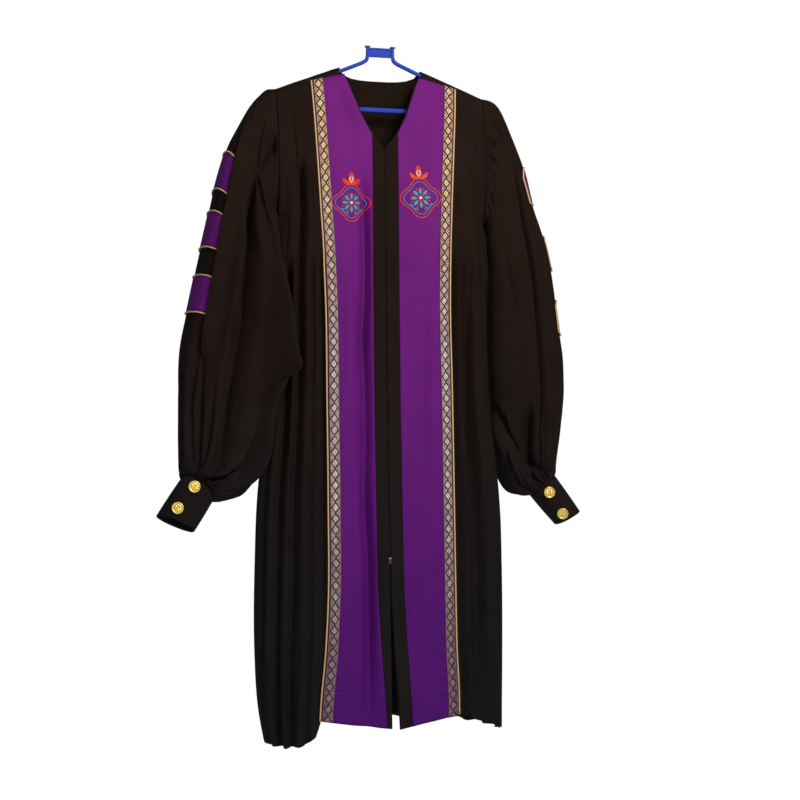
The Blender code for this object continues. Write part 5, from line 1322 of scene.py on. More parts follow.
# Zinc slider under a dark plating, rubbed bright by use.
ZINC = solid_material("plated zinc slider", "#44464a", "#76787c", 1.0, (0.28, 0.45), 1.5,
                      900.0, 0.0001)
# Nylon zip coil, dyed black, with a slight gloss.
NYLON = solid_material("black nylon zip coil", "#100e0e", "#231f1e", 0.0, (0.30, 0.50), 1.53,
                       900.0, 0.0001)
# Injection moulded plastic hanger: even blue, satin gloss, faint flow marks.
HANGER_BLUE = solid_material("blue moulded plastic", "#2440ae", "#3450c4", 0.0, (0.44, 0.56),
                             1.49, 350.0, 0.0002, 0.06)


def floor_material(name, code):
    """Plain stand-in for the floor under the part, pale with a very slow mottling."""
    made, tree, shader, place = start_material(name)
    slow = noise_of(tree, place.outputs["Object"], 2.0, 2.0, 0.5)
    pale = paint(code)
    shade = mix_of(tree, slow, tuple(c * 0.97 for c in pale[:3]) + (1.0,), pale)
    for socket in ("Base Color", "Emission Color"):
        tree.links.new(shade, shader.inputs[socket])
    set_up(shader, Roughness=0.9, Specular_IOR_Level=0.1, Emission_Strength=0.15)
    return made


PAPER = floor_material("pale studio floor", "#f4f3f1")


# Pieces.

LABELS = {-1: "right", 1: "left"}
# Rows of the fronts above and below the foot of the neck, and columns between their lines.
FRONT_LEVELS = np.concatenate((np.linspace(-FRONT_TOP, -0.1855, 30),
                               np.linspace(-0.1900, -FRONT_LOW, 172)))
STOPS = ("start", "inner", "ribbon_in", "ribbon_out", "panel_out", "edge", "total")
STOP_COLUMNS = (5, 28, 6, 2, 2, 92)
# Columns that the panel and the ribbon cover, and that of the piping, by those counts.
PANEL_COLUMNS = slice(5, 42)
RIBBON_COLUMNS = slice(33, 40)
EDGE_COLUMN = 43


def cloth_piece(name, points, way, thickness, material, slot, node, uv=None, ring=False):
    """A cloth with its thickness, its material and the node that it stands for."""
    uv = lengths_uv(points) if uv is None else uv
    piece = wall(cloth_mesh(name, points, uv, way, ring), thickness)
    return finish_piece(piece, material, slot, node)


def piping(name, path, across, up, sides, node, closed=False):
    """A cord's round section carried along a path, for the node that it stands for."""
    piece = swept(name, path, across, up, round_profile(PIPING_RADIUS, PIPING_RADIUS, sides),
                  closed)
    return finish_piece(piece, PIPING, "piping", node)


fronts = {}
for side, label in LABELS.items():
    points, normals, way = front_patch(side, FRONT_LEVELS, STOPS, STOP_COLUMNS)
    fronts[side] = (points, normals)
    front = "front_" + label
    piece = cloth_piece(front + "_cloth", points, way, CLOTH, BLACK, "gown_cloth", front)

    strip = (points + normals * (GAP + PANEL))[:, PANEL_COLUMNS]
    piece = cloth_piece("panel_%s_cloth" % label, strip, way[:, PANEL_COLUMNS], PANEL, PURPLE,
                        "purple_cloth", "panel_" + label)

    strip = (points + normals * (2 * GAP + PANEL + RIBBON))[:, RIBBON_COLUMNS]
    uv = lengths_uv(strip)
    uv[..., 0] = np.linspace(-1, 1, strip.shape[1])[None, :] * RIBBON_WIDE / 2
    piece = cloth_piece("ribbon_%s_weave" % label, strip, way[:, RIBBON_COLUMNS], RIBBON,
                        BROCADE, "ribbon", "ribbon_" + label, uv)

    up = normals[:, EDGE_COLUMN]
    path = points[:, EDGE_COLUMN] + up * (GAP + PIPING_RADIUS)
    across = np.cross(unit(np.gradient(path, axis=0)), up)
    piping("panel_piping_%s_cord" % label, path, across, up, 10, "panel_piping_" + label)

# Embroidery of the two panels: a four-lobed frame round a rosette with small leaves below it,
# and a bud on top, in millimetres right and up of the figure's place, which is given as x, z,
# turn in degrees and scale.
FIGURE_PLACE = {-1: (-0.0680, -0.2870, 0.0, 0.90), 1: (0.0706, -0.2720, 4.0, 0.97)}
# Height of a satin-stitched band, and the half width from which it stands that high.
THREAD_HEIGHT = 0.6
FULL_HALF = 0.8
# Lens-shaped section of a satin-stitched band: shares of its half width and of its height.
BAND_SECTION = np.array(((-1.0, 0.0), (-0.6, 0.8), (0.0, 1.0), (0.6, 0.8), (1.0, 0.0),
                         (0.6, -0.3), (0.0, -0.4), (-0.6, -0.3)))


def band(path, half, rise=0.0):
    """Satin band: the lens section carried along a line of (right, up) places, with a half
    width at each; gives places, heights, quads and the run along and across for the threads."""
    path = np.asarray(path, float)
    along = unit(np.gradient(path, axis=0))
    beside = np.stack([-along[:, 1], along[:, 0]], axis=1)
    wide = column(np.broadcast_to(half, len(path)))
    flat = path[:, None] + beside[:, None] * (BAND_SECTION[:, 0] * wide)[..., None]
    high = rise + BAND_SECTION[None, :, 1] * THREAD_HEIGHT * np.minimum(1.0, wide / FULL_HALF)
    uv = np.stack(np.broadcast_arrays(BAND_SECTION[None, :, 0] * wide,
                                      column(run_along(path))), axis=-1) / MM
    sides = len(BAND_SECTION)
    row, turn = np.meshgrid(np.arange(len(path) - 1) * sides, np.arange(sides), indexing="ij")
    after = (turn + 1) % sides
    quads = np.stack([row + turn, row + sides + turn, row + sides + after, row + after], -1)
    cap = np.array(((0, 1, 2, 3), (0, 3, 4, 7), (4, 5, 6, 7)))
    quads = np.concatenate((quads.reshape(-1, 4), cap, cap[:, ::-1] + (len(path) - 1) * sides))
    return flat.reshape(-1, 2), high.ravel(), quads, uv.reshape(-1, 2)


def leaf(start, end, half, bow=0.0, rise=0.0):
    """Pointed band from start to end, its half width a sine of the way, its line bowed."""
    swell = np.sin(np.linspace(0, 1, 13) * math.pi)
    start, end = np.asarray(start, float), np.asarray(end, float)
    beside = np.array([start[1] - end[1], end[0] - start[0]])
    path = start + (end - start) * column(np.linspace(0, 1, 13)) + beside * column(bow * swell)
    return band(path, np.maximum(half * np.maximum(swell, 0.0) ** 0.7, 0.05), rise)


def loop(middle, wide, high, lobes, half, count=121):
    """Closed band round an oval whose radius swells by a cosine of four times the turn."""
    turn = np.linspace(0, 2 * math.pi, count)
    swell = 1 + lobes * np.cos(4 * turn)
    return band(np.stack([middle[0] + wide * swell * np.cos(turn),
                          middle[1] + high * swell * np.sin(turn)], axis=1), half)


def polar(middle, radius, degrees):
    return (middle[0] + radius * math.sin(math.radians(degrees)),
            middle[1] + radius * math.cos(math.radians(degrees)))


def figure_bands():
    """Bands of the figure for each thread."""
    middle = (0.0, -14.0)
    bud = (0.0, 25.0)

    def ray(low, high, degrees, half, swing=0):
        return leaf(polar(middle, low, degrees), polar(middle, high, degrees + swing), half)

    red = [loop(middle, 38.0, 36.0, 0.13, 1.5), loop(middle, 5.6, 5.6, 0.0, 0.9, 33)]
    red += [ray(15.5, 23.0, a, 1.5) for a in np.arange(22.5, 360, 45)]
    red += [leaf(bud, (0.0, 54.0), 8.4)]
    red += [leaf(bud, polar(bud, 24.0, way * 54), 6.2, -way * 0.12) for way in (-1, 1)]
    teal = [loop(middle, 31.5, 29.5, 0.13, 0.8)]
    teal += [ray(7.0, 21.0, a, 3.9) for a in range(0, 360, 45)]
    teal += [ray(22.0, 28.0, a, 1.5, way * 10) for way in (-1, 1) for a in (128, 155, 232, 205)]
    white = [leaf((middle[0] - 3.6, middle[1]), (middle[0] + 3.6, middle[1]), 3.5, rise=0.1)]
    white += [leaf((way * 2.6, 31.0), (way * 1.0, 44.0), 1.5, -way * 0.15, 0.5)
              for way in (-1, 1)]
    white += [leaf((0.0, 28.0), (0.0, 36.0), 1.2, 0.0, 0.5)]
    return (("red", RED_THREAD, red), ("teal", TEAL_THREAD, teal), ("white", WHITE_THREAD, white))


# Step along the panel at which its normal is taken.
PANEL_STEP = 0.0012


def on_panel(side, x, z):
    """Points and outward normals of a panel's outer face at given x and z, by repeated
    correction of the run and the level and small differences for the normal."""
    marks = front_marks(side, FRONT_LEVELS)

    def at(girth, level):
        wide = {name: np.interp(-level, -FRONT_LEVELS, run) for name, run in marks.items()}
        return front_cloth(side, girth, level, wide)

    girth, level = np.abs(x), z.copy()
    for _ in range(10):
        found = at(girth, level)
        girth = np.maximum(girth + side * (x - found[..., 0]), 0.0)
        level = level + (z - found[..., 2])
    across = at(girth + PANEL_STEP, level) - at(girth - PANEL_STEP, level)
    down = at(girth, level + PANEL_STEP) - at(girth, level - PANEL_STEP)
    normals = unit(np.cross(across, down))
    normals = np.where(normals[..., 1:2] > 0, -normals, normals)
    return at(girth, level) + normals * (GAP + PANEL), normals


# Pitch, length and width of the stitches, drawn thicker than real so that they show.
SEAM_STITCH = (0.0034, 0.0027, 0.0008)
HEM_ROW = -5
HEM_LINE_Z = -1.262
# Where the rows of stitches run on a front: the first row and the column of the front edge,
# the columns of the panel's hem, and the first and last column of the black hem.
PLACKET_ROW = 34
PLACKET_COLUMN = 1
PANEL_HEM_COLUMNS = slice(6, 33)
HEM_COLUMNS = slice(EDGE_COLUMN + 3, -2)


def sew(name, path, normals, thread=BLACK_THREAD):
    """A row of stitches along a path, on a surface with these normals."""
    finish_piece(stitches(name, path, normals, *SEAM_STITCH), thread, None)


for side, label in LABELS.items():
    points, normals = fronts[side]
    sew("hem_stitches_" + label, points[HEM_ROW, HEM_COLUMNS], normals[HEM_ROW, HEM_COLUMNS])
    sew("placket_stitches_" + label, points[PLACKET_ROW:, PLACKET_COLUMN],
        normals[PLACKET_ROW:, PLACKET_COLUMN])
    face = points + normals * (GAP + PANEL)
    row = int(np.argmin(np.abs(FRONT_LEVELS - HEM_LINE_Z)))
    sew("panel_hem_stitches_" + label, face[row, PANEL_HEM_COLUMNS],
        normals[row, PANEL_HEM_COLUMNS], PURPLE_THREAD)
    face = face + normals * (GAP + RIBBON)
    for name, place in (("inner", RIBBON_COLUMNS.start), ("outer", RIBBON_COLUMNS.stop - 1)):
        sew("ribbon_stitches_%s_%s" % (name, label), face[1:, place], normals[1:, place],
            PURPLE_THREAD)

for side, label in LABELS.items():
    x0, z0, turn, scale = FIGURE_PLACE[side]
    c, t = math.cos(math.radians(turn)), math.sin(math.radians(turn))
    for colour, thread, bands in figure_bands():
        flat = np.concatenate([part[0] for part in bands]) * scale / MM
        high = np.concatenate([part[1] for part in bands]) / MM
        before = np.cumsum([0] + [len(part[0]) for part in bands[:-1]])
        quads = np.concatenate([part[2] + start for part, start in zip(bands, before)])
        uv = np.concatenate([part[3] for part in bands])
        x = x0 + flat[:, 0] * c - flat[:, 1] * t
        z = z0 + flat[:, 0] * t + flat[:, 1] * c
        points, normals = on_panel(side, x, z)
        points = points + normals * high[:, None]
        piece = poly_mesh("embroidery_%s_%s" % (colour, label), points, quads, uv[quads.ravel()])
        finish_piece(piece, thread, None)

# Rows and columns of back and yoke.
BACK_GRID = (150, 221)
YOKE_GRID = (44, 161)

points = back_cloth(*BACK_GRID)
way = np.zeros_like(points)
way[..., 1] = 1.0
piece = cloth_piece("back_cloth", points, way, CLOTH, BLACK, "gown_cloth", "back")
back = (points, grid_normals(points, way))

# Middle of the shoulders, from which the yoke faces away.
YOKE_CENTRE = np.array([0.0, 0.0, -0.12])
points = yoke_cloth(*YOKE_GRID)
way = points - YOKE_CENTRE
piece = cloth_piece("yoke_cloth", points, way, CLOTH, BLACK, "gown_cloth", "yoke")
yoke = (points, grid_normals(points, way))

# Seam allowances, flat strips inside a seam. Behind the seam of yoke and back: half the
# height, depth under the outer face and how far the middle lies above the seam. Inside an
# armhole: half the width and depth. The half thickness and squareness are those of both.
YOKE_ALLOWANCE_HALF = 0.0036
YOKE_ALLOWANCE_DEEP = 0.0036
YOKE_ALLOWANCE_UP = 0.0010
ALLOWANCE_HALF = 0.0060
ALLOWANCE_DEEP = 0.0026
ALLOWANCE_THICK = 0.0005
ALLOWANCE_SQUARE = 4.0
# Columns of a seam without its two ends.
SEAM_COLUMNS = slice(3, -3)
STITCH_COLUMNS = slice(4, -4)


def allowance(name, path, down, normals, half, closed=False):
    """A seam's flat strip of cloth along a path."""
    piece = swept(name, path, down, normals,
                  round_profile(half, ALLOWANCE_THICK, 8, ALLOWANCE_SQUARE), closed)
    finish_piece(piece, BLACK, "gown_cloth")


points, normals = yoke
down = unit(points[-1] - points[-3])[SEAM_COLUMNS]
up = normals[-1, SEAM_COLUMNS]
path = points[-1, SEAM_COLUMNS] - up * YOKE_ALLOWANCE_DEEP - down * YOKE_ALLOWANCE_UP
allowance("yoke_seam", path, down, up, YOKE_ALLOWANCE_HALF)
for name, (points, normals), row in (("back_hem", back, HEM_ROW), ("yoke_front", yoke, 2),
                                     ("yoke_back", yoke, -3)):
    sew(name + "_stitches", points[row, STITCH_COLUMNS], normals[row, STITCH_COLUMNS])

SLEEVE_ROWS = np.concatenate((np.linspace(0.0, 4.0, 44), np.linspace(4.1, 10.0, 46),
                              np.linspace(10.1, 15.0, 44)))
SLEEVE_AROUND = np.concatenate((np.linspace(0.0, 0.1005, 34), np.linspace(0.104, 0.18, 28),
                                np.linspace(0.186, 0.50, 58), np.linspace(0.508, 0.993, 62)))
# Bars of a sleeve: name and the rows between which it lies; then half its length round by side
# and how far its middle is set back from the outer end.
BARS = (("upper", 4, 5), ("middle", 6, 7), ("lower", 8, 9))
BAR_HALF = {-1: 0.103, 1: 0.100}
BAR_BEHIND = {(-1, "upper"): 0.0, (-1, "middle"): 0.0, (-1, "lower"): 0.0,
              (1, "upper"): 0.007, (1, "middle"): 0.040, (1, "lower"): 0.021}
BAR_LIFT = 0.0005
BAR_CLOTH = 0.0011
BAR_ROWS = 17
BAR_COLUMNS = 49
# Rounded corners of a bar: the share of its height taken off at its ends, and where it starts.
BAR_CORNER = {-1: 0.05, 1: 0.12}
BAR_CORNER_FROM = {-1: 0.094, 1: 0.075}
# Sideways turn of the direction field on a bar.
BAR_OUTWARD = 0.2


def border(grid):
    """Places of a grid once round its edge."""
    return np.concatenate((grid[0], grid[1:, -1], grid[-1, -2::-1], grid[-2:0:-1, 0]))


for side, label in LABELS.items():
    sleeve = "sleeve_" + label
    points = sleeve_cloth(side, SLEEVE_ROWS, SLEEVE_AROUND)
    way = points - points.mean(axis=1, keepdims=True)
    piece = cloth_piece(sleeve + "_cloth", points, way, CLOTH, BLACK, "gown_cloth", sleeve,
                        ring=True)
    inside = grid_normals(points, way, ring=True)[0]
    allowance("armhole_seam_" + label, points[0] - inside * ALLOWANCE_DEEP,
              unit(points[2] - points[0]), inside, ALLOWANCE_HALF, closed=True)

    for bar, top, low in BARS:
        share = np.linspace(-BAR_HALF[side], BAR_HALF[side], BAR_COLUMNS)
        rows = np.linspace(top, low, BAR_ROWS)
        wide = sleeve_plain(side, rows, (share - BAR_BEHIND[side, bar]) % 1.0)
        way = wide - wide.mean(axis=1, keepdims=True) + np.array([side * BAR_OUTWARD, 0, 0])
        normals = grid_normals(wide, way)
        pinch = BAR_CORNER[side] * ramp(np.abs(share), BAR_CORNER_FROM[side], BAR_HALF[side])
        place = column(np.linspace(0, 1, BAR_ROWS)) * (1 - 2 * pinch) + pinch
        place = place * (BAR_ROWS - 1)
        r = np.clip(place.astype(int), 0, BAR_ROWS - 2)
        t = (place - r)[..., None]
        c = np.arange(BAR_COLUMNS)[None, :]
        wide = wide[r, c] * (1 - t) + wide[r + 1, c] * t
        normals = unit(normals[r, c] * (1 - t) + normals[r + 1, c] * t)
        face = wide + normals * (BAR_LIFT + BAR_CLOTH)
        node = "bar_%s_%s" % (bar, label)
        piece = cloth_piece(node + "_cloth", face, normals, BAR_CLOTH, PURPLE, "purple_cloth",
                            node)
        rim, up = border(wide), border(normals)
        along = unit(np.roll(rim, -1, axis=0) - np.roll(rim, 1, axis=0))
        out = turned(unit(np.cross(along, up)), rim - rim.mean(axis=0))
        path = rim + out * (PIPING_RADIUS + GAP) + up * (PIPING_RADIUS + BAR_LIFT + GAP)
        node = "bar_piping_%s_%s" % (bar, label)
        piping(node + "_cord", path, out, up, 8, node, closed=True)

# Buttons: name, share round the cuff from its outer end and share down it.
BUTTONS = {
    -1: (("upper", 0.200, 0.175), ("lower", 0.185, 0.745)),
    1: (("upper", 0.275, 0.175), ("lower", 0.300, 0.790)),
}
BUTTON_LIFT = 0.0011
# Radius and height in mm of a turned button, from the middle of its back to that of its face.
BUTTON_PROFILE = np.array((
    (0.0, 0.0), (8.2, 0.0), (9.8, 0.25), (11.0, 0.9), (11.5, 1.7), (11.5, 2.6), (11.4, 3.4),
    (11.0, 3.85), (10.6, 4.0), (9.0, 3.95), (8.5, 3.55), (8.4, 2.95), (8.2, 2.8), (7.8, 2.85),
    (7.0, 2.95), (6.0, 3.05), (5.0, 3.1), (4.0, 3.15), (3.0, 3.2), (2.0, 3.25), (1.0, 3.3),
    (0.0, 3.3),
)) / MM
# First place of the profile inside the rim, and a height inside the button.
BUTTON_FACE = 12
BUTTON_MIDDLE = 0.0019
BUTTON_SIDES = 64
# Smallest radius, which keeps the two poles open to a hair.
BUTTON_POLE = 0.00002
# The rosette: leaves, their middle radius, half width and height; the boss's width and height.
LEAVES = 8
LEAF_RADIUS = 0.0050
LEAF_HALF = 0.0018
LEAF_HEIGHT = 0.00070
BOSS_HALF = 0.0016
BOSS_HEIGHT = 0.0005


def button(name, centre, axis):
    """Turned button: a profile carried round its axis, its face raised into a rosette of eight
    leaves with a small boss, a cosine of the turn times a bell of the radius."""
    axis = unit(np.asarray(axis))
    level = unit(np.cross(axis, (0.0, 0.0, 1.0)))
    other = np.cross(axis, level)
    turn = np.arange(BUTTON_SIDES) * 2 * math.pi / BUTTON_SIDES
    radius = column(np.maximum(BUTTON_PROFILE[:, 0], BUTTON_POLE))
    face = column(np.arange(len(BUTTON_PROFILE)) >= BUTTON_FACE)
    petal = bell(radius - LEAF_RADIUS, LEAF_HALF) * (0.5 + 0.5 * np.cos(LEAVES * turn))
    boss = bell(radius, BOSS_HALF)
    high = BUTTON_PROFILE[:, 1:] + face * (petal * LEAF_HEIGHT + boss * BOSS_HEIGHT)
    spoke = np.cos(turn)[:, None] * level + np.sin(turn)[:, None] * other
    points = centre + radius[..., None] * spoke + high[..., None] * axis
    uv = np.stack(np.broadcast_arrays(turn[None, :] * 0.01, radius), axis=-1)
    return cloth_mesh(name, points, uv, points - centre - axis * BUTTON_MIDDLE, ring=True)


CUFF_ROWS = 25
CUFF_COLUMNS = 120
# Swell of the doubled cuff between its two rows of stitches.
CUFF_SWELL = 0.0007
CUFF_STITCH_ROWS = (("upper", 3), ("lower", 21))

for side, label in LABELS.items():
    down = np.linspace(0, 1, CUFF_ROWS)
    points = cuff_cloth(side, down, np.arange(CUFF_COLUMNS) / CUFF_COLUMNS)
    way = points - points.mean(axis=1, keepdims=True)
    normals = grid_normals(points, way, ring=True)
    points = points + normals * CUFF_SWELL * np.sin(down * math.pi)[:, None, None]
    piece = cloth_piece("cuff_%s_cloth" % label, points, way, CUFF_CLOTH, BLACK, "gown_cloth",
                        "cuff_" + label, ring=True)
    for name, row in CUFF_STITCH_ROWS:
        sew("cuff_stitches_%s_%s" % (name, label), np.concatenate((points[row], points[row, :1])),
            np.concatenate((normals[row], normals[row, :1])))
    for name, turn, low in BUTTONS[side]:
        spot = cuff_cloth(side, (low,), np.array([turn]))[0, 0]
        way = unit(normals[int(round(low * (CUFF_ROWS - 1))),
                           int(round(turn * CUFF_COLUMNS)) % CUFF_COLUMNS])
        node = "button_%s_%s" % (name, label)
        finish_piece(button(node, spot + way * BUTTON_LIFT, way), GOLD, "button_metal", node)


# Zip: a tape behind the two front edges, a closed nylon coil between them, and its slider.

ZIP_TAPE = 0.0012
ZIP_TOP_Z = -0.190
ZIP_REACH = 0.012
ZIP_COLUMNS = 13
# How much farther back the tape lies at its edges than in its middle.
ZIP_BOW = 0.0006
COIL_TOP_Z = -0.192
COIL_CLEAR = 0.004
TOOTH_PITCH = 0.0022
# A tooth's half width, depth and height, its step to either side, and how far back it lies.
TOOTH_HALF = (0.00038, 0.00055, 0.00075)
TOOTH_LEAN = 0.00022
TOOTH_BACK = CLOTH - 0.0003
# Corners of a block of half size 1, and its faces.
BLOCK = np.array([(x, y, z) for z in (-1, 1) for y in (-1, 1) for x in (-1, 1)], float)
BLOCK_FACES = np.array(((1, 3, 2, 0), (6, 7, 5, 4), (4, 5, 1, 0), (5, 7, 3, 1), (7, 6, 2, 3),
                        (6, 4, 0, 2)))
# The slider: stations, half width, depth and height, its clearance in front of the edges, and
# the heights above the zip's end between which its middle lies.
SLIDER_ROWS = 15
SLIDER_HALF = (0.0036, 0.0014, 0.0060)
SLIDER_LIFT = GAP + 0.0004
SLIDER_SPAN = (0.0045, 0.0035)
# Shares by which it narrows at its lower and upper end and thins at both.
SLIDER_NARROW = (0.35, 0.20, 0.45)
# Squareness of a moulded or cast section.
MOULDED_SQUARE = 2.0 / 0.6


def centre_lines(top, low, count):
    """Middle of the two front edges, its normal and the way across, at even heights."""
    z = np.linspace(top, low, count)
    middle = np.zeros((count, 3))
    for points, _ in fronts.values():
        edge = points[np.argsort(points[:, 0, 2]), 0]
        middle += np.stack([np.interp(z, edge[:, 2], edge[:, k]) for k in range(3)], axis=-1) / 2
    across = np.zeros_like(middle) + (1.0, 0.0, 0.0)
    front_way = unit(np.cross(across, unit(np.gradient(middle, axis=0))))
    return middle, np.where(front_way[:, 1:2] > 0, -front_way, front_way), across


middle, front_way, across = centre_lines(ZIP_TOP_Z, ZIP_END_Z, 240)
reach = np.linspace(-ZIP_REACH, ZIP_REACH, ZIP_COLUMNS)
strip = middle[:, None] + across[:, None] * reach[None, :, None]
depth = CLOTH + GAP + ZIP_BOW * np.abs(reach / ZIP_REACH)[None, :, None]
strip = strip - front_way[:, None] * depth
way = np.zeros_like(strip)
way[..., 1] = -1.0
piece = cloth_piece("zip_tape_weave", strip, way, ZIP_TAPE, TAPE, "zip_tape", "zip")

count = int((COIL_TOP_Z - ZIP_END_Z) / TOOTH_PITCH)
middle, front_way, across = centre_lines(COIL_TOP_Z, ZIP_END_Z + COIL_CLEAR, count)
lean = column(np.where(np.arange(count) % 2 == 0, TOOTH_LEAN, -TOOTH_LEAN))
centre = middle - front_way * TOOTH_BACK + across * lean
corner = BLOCK * TOOTH_HALF
teeth = (centre[:, None] + across[:, None] * corner[:, :1] + front_way[:, None] * corner[:, 1:2]
         + corner * (0.0, 0.0, 1.0))
faces = (np.arange(count)[:, None, None] * len(BLOCK) + BLOCK_FACES).reshape(-1, 4)
finish_piece(poly_mesh("zip_coil", teeth.reshape(-1, 3), faces), NYLON, "zip_tape")

spots, _, _ = centre_lines(*(ZIP_END_Z + up for up in SLIDER_SPAN), 3)
spot = spots[1] - (0.0, SLIDER_LIFT, 0.0)
rise = np.linspace(-1, 1, SLIDER_ROWS)
half_wide = SLIDER_HALF[0] * (1 - SLIDER_NARROW[0] * np.clip(-rise, 0, 1) ** 2
                              - SLIDER_NARROW[1] * np.clip(rise, 0, 1) ** 2)
half_deep = SLIDER_HALF[1] * (1 - SLIDER_NARROW[2] * rise ** 4)
path = np.stack([spot[0] + 0 * rise, spot[1] - half_deep, spot[2] + rise * SLIDER_HALF[2]],
                axis=-1)
profile = (round_profile(1.0, 1.0, 24, MOULDED_SQUARE)[None]
           * np.stack([half_wide, half_deep], axis=-1)[:, None])
level = np.zeros_like(path)
piece = swept("zip_slider_body", path, level + (1.0, 0.0, 0.0), level + (0.0, -1.0, 0.0), profile)
finish_piece(piece, ZINC, "slider_metal", "zip_slider")


# Hanger: one rounded moulded bar, and the head's web, ribs and post caps.

# Right half of the bar, from the head round the shoulder to the middle of the lower bar.
HANGER_NAMES = ("x", "z", "half_high", "half_deep")
HANGER = table(HANGER_NAMES, (
    (0.0255, 0.0202, 0.0030, 0.0034), (0.0255, 0.0013, 0.0034, 0.0036),
    (0.0275, -0.0070, 0.0038, 0.0038), (0.0360, -0.0125, 0.0037, 0.0038),
    (0.0850, -0.0335, 0.0036, 0.0040), (0.1450, -0.0595, 0.0036, 0.0042),
    (0.1900, -0.0785, 0.0036, 0.0042), (0.2030, -0.0860, 0.0037, 0.0042),
    (0.2055, -0.0950, 0.0038, 0.0042), (0.1980, -0.1035, 0.0041, 0.0042),
    (0.1850, -0.1060, 0.0045, 0.0042), (0.0900, -0.1060, 0.0047, 0.0042),
    (0.0000, -0.1060, 0.0047, 0.0042),
))
# Head blocks: low and high x, y and z.
HEAD_BLOCKS = (
    (-0.0255, 0.0255, -0.0011, 0.0011, 0.0015, 0.0170),
    (-0.0251, 0.0251, -0.0026, 0.0026, 0.0150, 0.0182),
    (-0.0247, 0.0247, -0.0024, 0.0024, 0.0000, 0.0032),
    (-0.0305, -0.0205, -0.0046, 0.0046, 0.0190, 0.0215),
    (0.0205, 0.0305, -0.0046, 0.0046, 0.0190, 0.0215),
)


# Rounding of a head block's edges, the share of its smaller half size by which the middle of
# an end face is drawn in, and how far its circle is widened before it is clipped square.
HEAD_EDGE = 0.0004
HEAD_END = 0.98
HEAD_SQUARING = 1.6


def rounded_block(low, high, sides=40, rows=9):
    """Block with rounded corners: a clipped circle carried up between two shrunk ends, as a
    grid of points."""
    low, high = np.array(low), np.array(high)
    middle, half = (low + high) / 2, (high - low) / 2
    turn = (np.arange(sides) + 0.5) * 2 * math.pi / sides
    u = np.clip(np.cos(turn) * HEAD_SQUARING, -1, 1)
    v = np.clip(np.sin(turn) * HEAD_SQUARING, -1, 1)
    rise = np.concatenate(([-1.0, -1.0], np.linspace(-1, 1, rows), [1.0, 1.0]))
    inset = np.zeros(len(rise))
    inset[[1, 2, -3, -2]] = HEAD_EDGE
    inset[[0, -1]] = min(half[0], half[1]) * HEAD_END
    x = middle[0] + u * (half[0] - column(inset))
    y = middle[1] + v * (half[1] - column(inset))
    return np.stack([x, y, middle[2] + column(rise * half[2]) + 0 * x], axis=-1)


bar = np.stack([HANGER[name] for name in HANGER_NAMES], axis=-1)
bar = np.concatenate((bar, bar[-2::-1] * (-1, 1, 1, 1)))
run = run_along(bar[:, :2])
at = np.unique(np.concatenate((np.linspace(0, run[-1], 260), run)))
bar = np.stack([np.interp(at, run, bar[:, k]) for k in range(4)], axis=-1)
# Three passes of a running mean round off its corners.
for _ in range(3):
    bar[1:-1, :2] = bar[1:-1, :2] * 0.5 + (bar[:-2, :2] + bar[2:, :2]) * 0.25
path = np.stack([bar[:, 0], 0 * at, bar[:, 1]], axis=-1)
across = np.cross(unit(np.gradient(path, axis=0)), (0.0, 1.0, 0.0))
profile = round_profile(1.0, 1.0, 28, MOULDED_SQUARE)[None] * bar[:, None, 2:]
piece = swept("hanger_bar", path, across, np.zeros_like(path) + (0.0, 1.0, 0.0), profile)
finish_piece(piece, HANGER_BLUE, "hanger_plastic", "hanger")

for number, (x0, x1, y0, y1, z0, z1) in enumerate(HEAD_BLOCKS):
    grid = rounded_block((x0, y0, z0), (x1, y1, z1))
    centre = np.array([(x0 + x1) / 2, (y0 + y1) / 2, (z0 + z1) / 2])
    piece = cloth_mesh("hanger_head_%d" % number, grid, np.zeros(grid.shape[:2] + (2,)),
                       grid - centre, ring=True)
    finish_piece(piece, HANGER_BLUE, "hanger_plastic")


# Camera, light and floor.

def look(data, place, aim):
    """Puts a camera or a light at a place, turned to a point."""
    made = bpy.data.objects.new(data.name, data)
    bpy.context.scene.collection.objects.link(made)
    made.location = place
    made.rotation_euler = (Vector(aim) - Vector(place)).to_track_quat("-Z", "Y").to_euler()
    return made


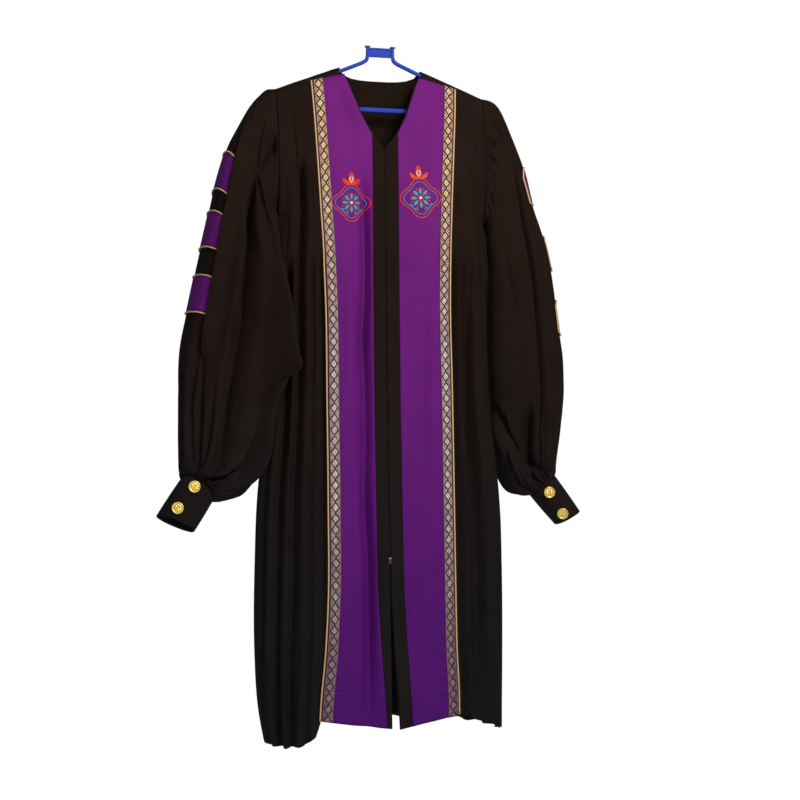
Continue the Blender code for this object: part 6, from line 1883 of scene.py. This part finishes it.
# The camera stands 13 degrees to the side of the front, level with the middle of the gown.
TURN = math.radians(-13.0)
RIGHT = np.array([math.cos(TURN), math.sin(TURN), 0.0])
BACK = np.array([math.sin(TURN), -math.cos(TURN), 0.0])
CAMERA_SHIFT = 0.040
CAMERA_Z = -0.685
CAMERA_DISTANCE = 2.8
TARGET = CAMERA_SHIFT * RIGHT + np.array([0.0, 0.0, CAMERA_Z])
camera = look(bpy.data.cameras.new("photo_camera"), TARGET + CAMERA_DISTANCE * BACK, TARGET)
camera.data.lens = 63.0
camera.data.sensor_width = 36.0
bpy.context.scene.camera = camera

# Square lights: name, place, aim, size, watts and colour.
LIGHTS = (
    ("window_light", (0.55, -1.9, 0.70), (0.0, 0.0, -0.40), 0.8, 42.0, (1.0, 0.90, 0.80)),
    ("fill_light", (-0.9, -3.4, -0.4), (0.0, 0.0, -0.7), 2.4, 17.0, (1.0, 1.0, 1.0)),
    ("back_light", (0.6, 2.4, 0.8), (0.0, 0.0, -0.6), 1.6, 75.0, (1.0, 1.0, 1.0)),
)
for name, place, aim, size, watts, colour in LIGHTS:
    light = look(bpy.data.lights.new(name, "AREA"), place, aim).data
    light.size = size
    light.energy = watts
    light.color = colour

world = bpy.data.worlds.new("pale studio")
bpy.context.scene.world = world
world.use_nodes = True
# The studio is white to the eye and a softer, cooler grey to the cloth, both as linear light.
SKY_LIGHT = (0.115, 0.125, 0.165, 1.0)
SKY_SEEN = (1.0, 1.0, 1.0, 1.0)
sky = world.node_tree
seen = add(sky, "ShaderNodeLightPath").outputs["Is Camera Ray"]
shade = mix_of(sky, seen, SKY_LIGHT, SKY_SEEN)
sky.links.new(shade, sky.nodes["Background"].inputs["Color"])
sky.nodes["Background"].inputs["Strength"].default_value = 1.0
bpy.context.scene.view_settings.view_transform = "Standard"

FLOOR_Z = -2.90
FLOOR_HALF = 4.0
corners = np.array([(x, y, 0.0) for x, y in ((-1, -1), (1, -1), (1, 1), (-1, 1))]) * FLOOR_HALF
floor = poly_mesh("studio_floor", corners + (0.0, 0.0, FLOOR_Z), np.array([[0, 1, 2, 3]]))
floor.data.materials.append(PAPER)
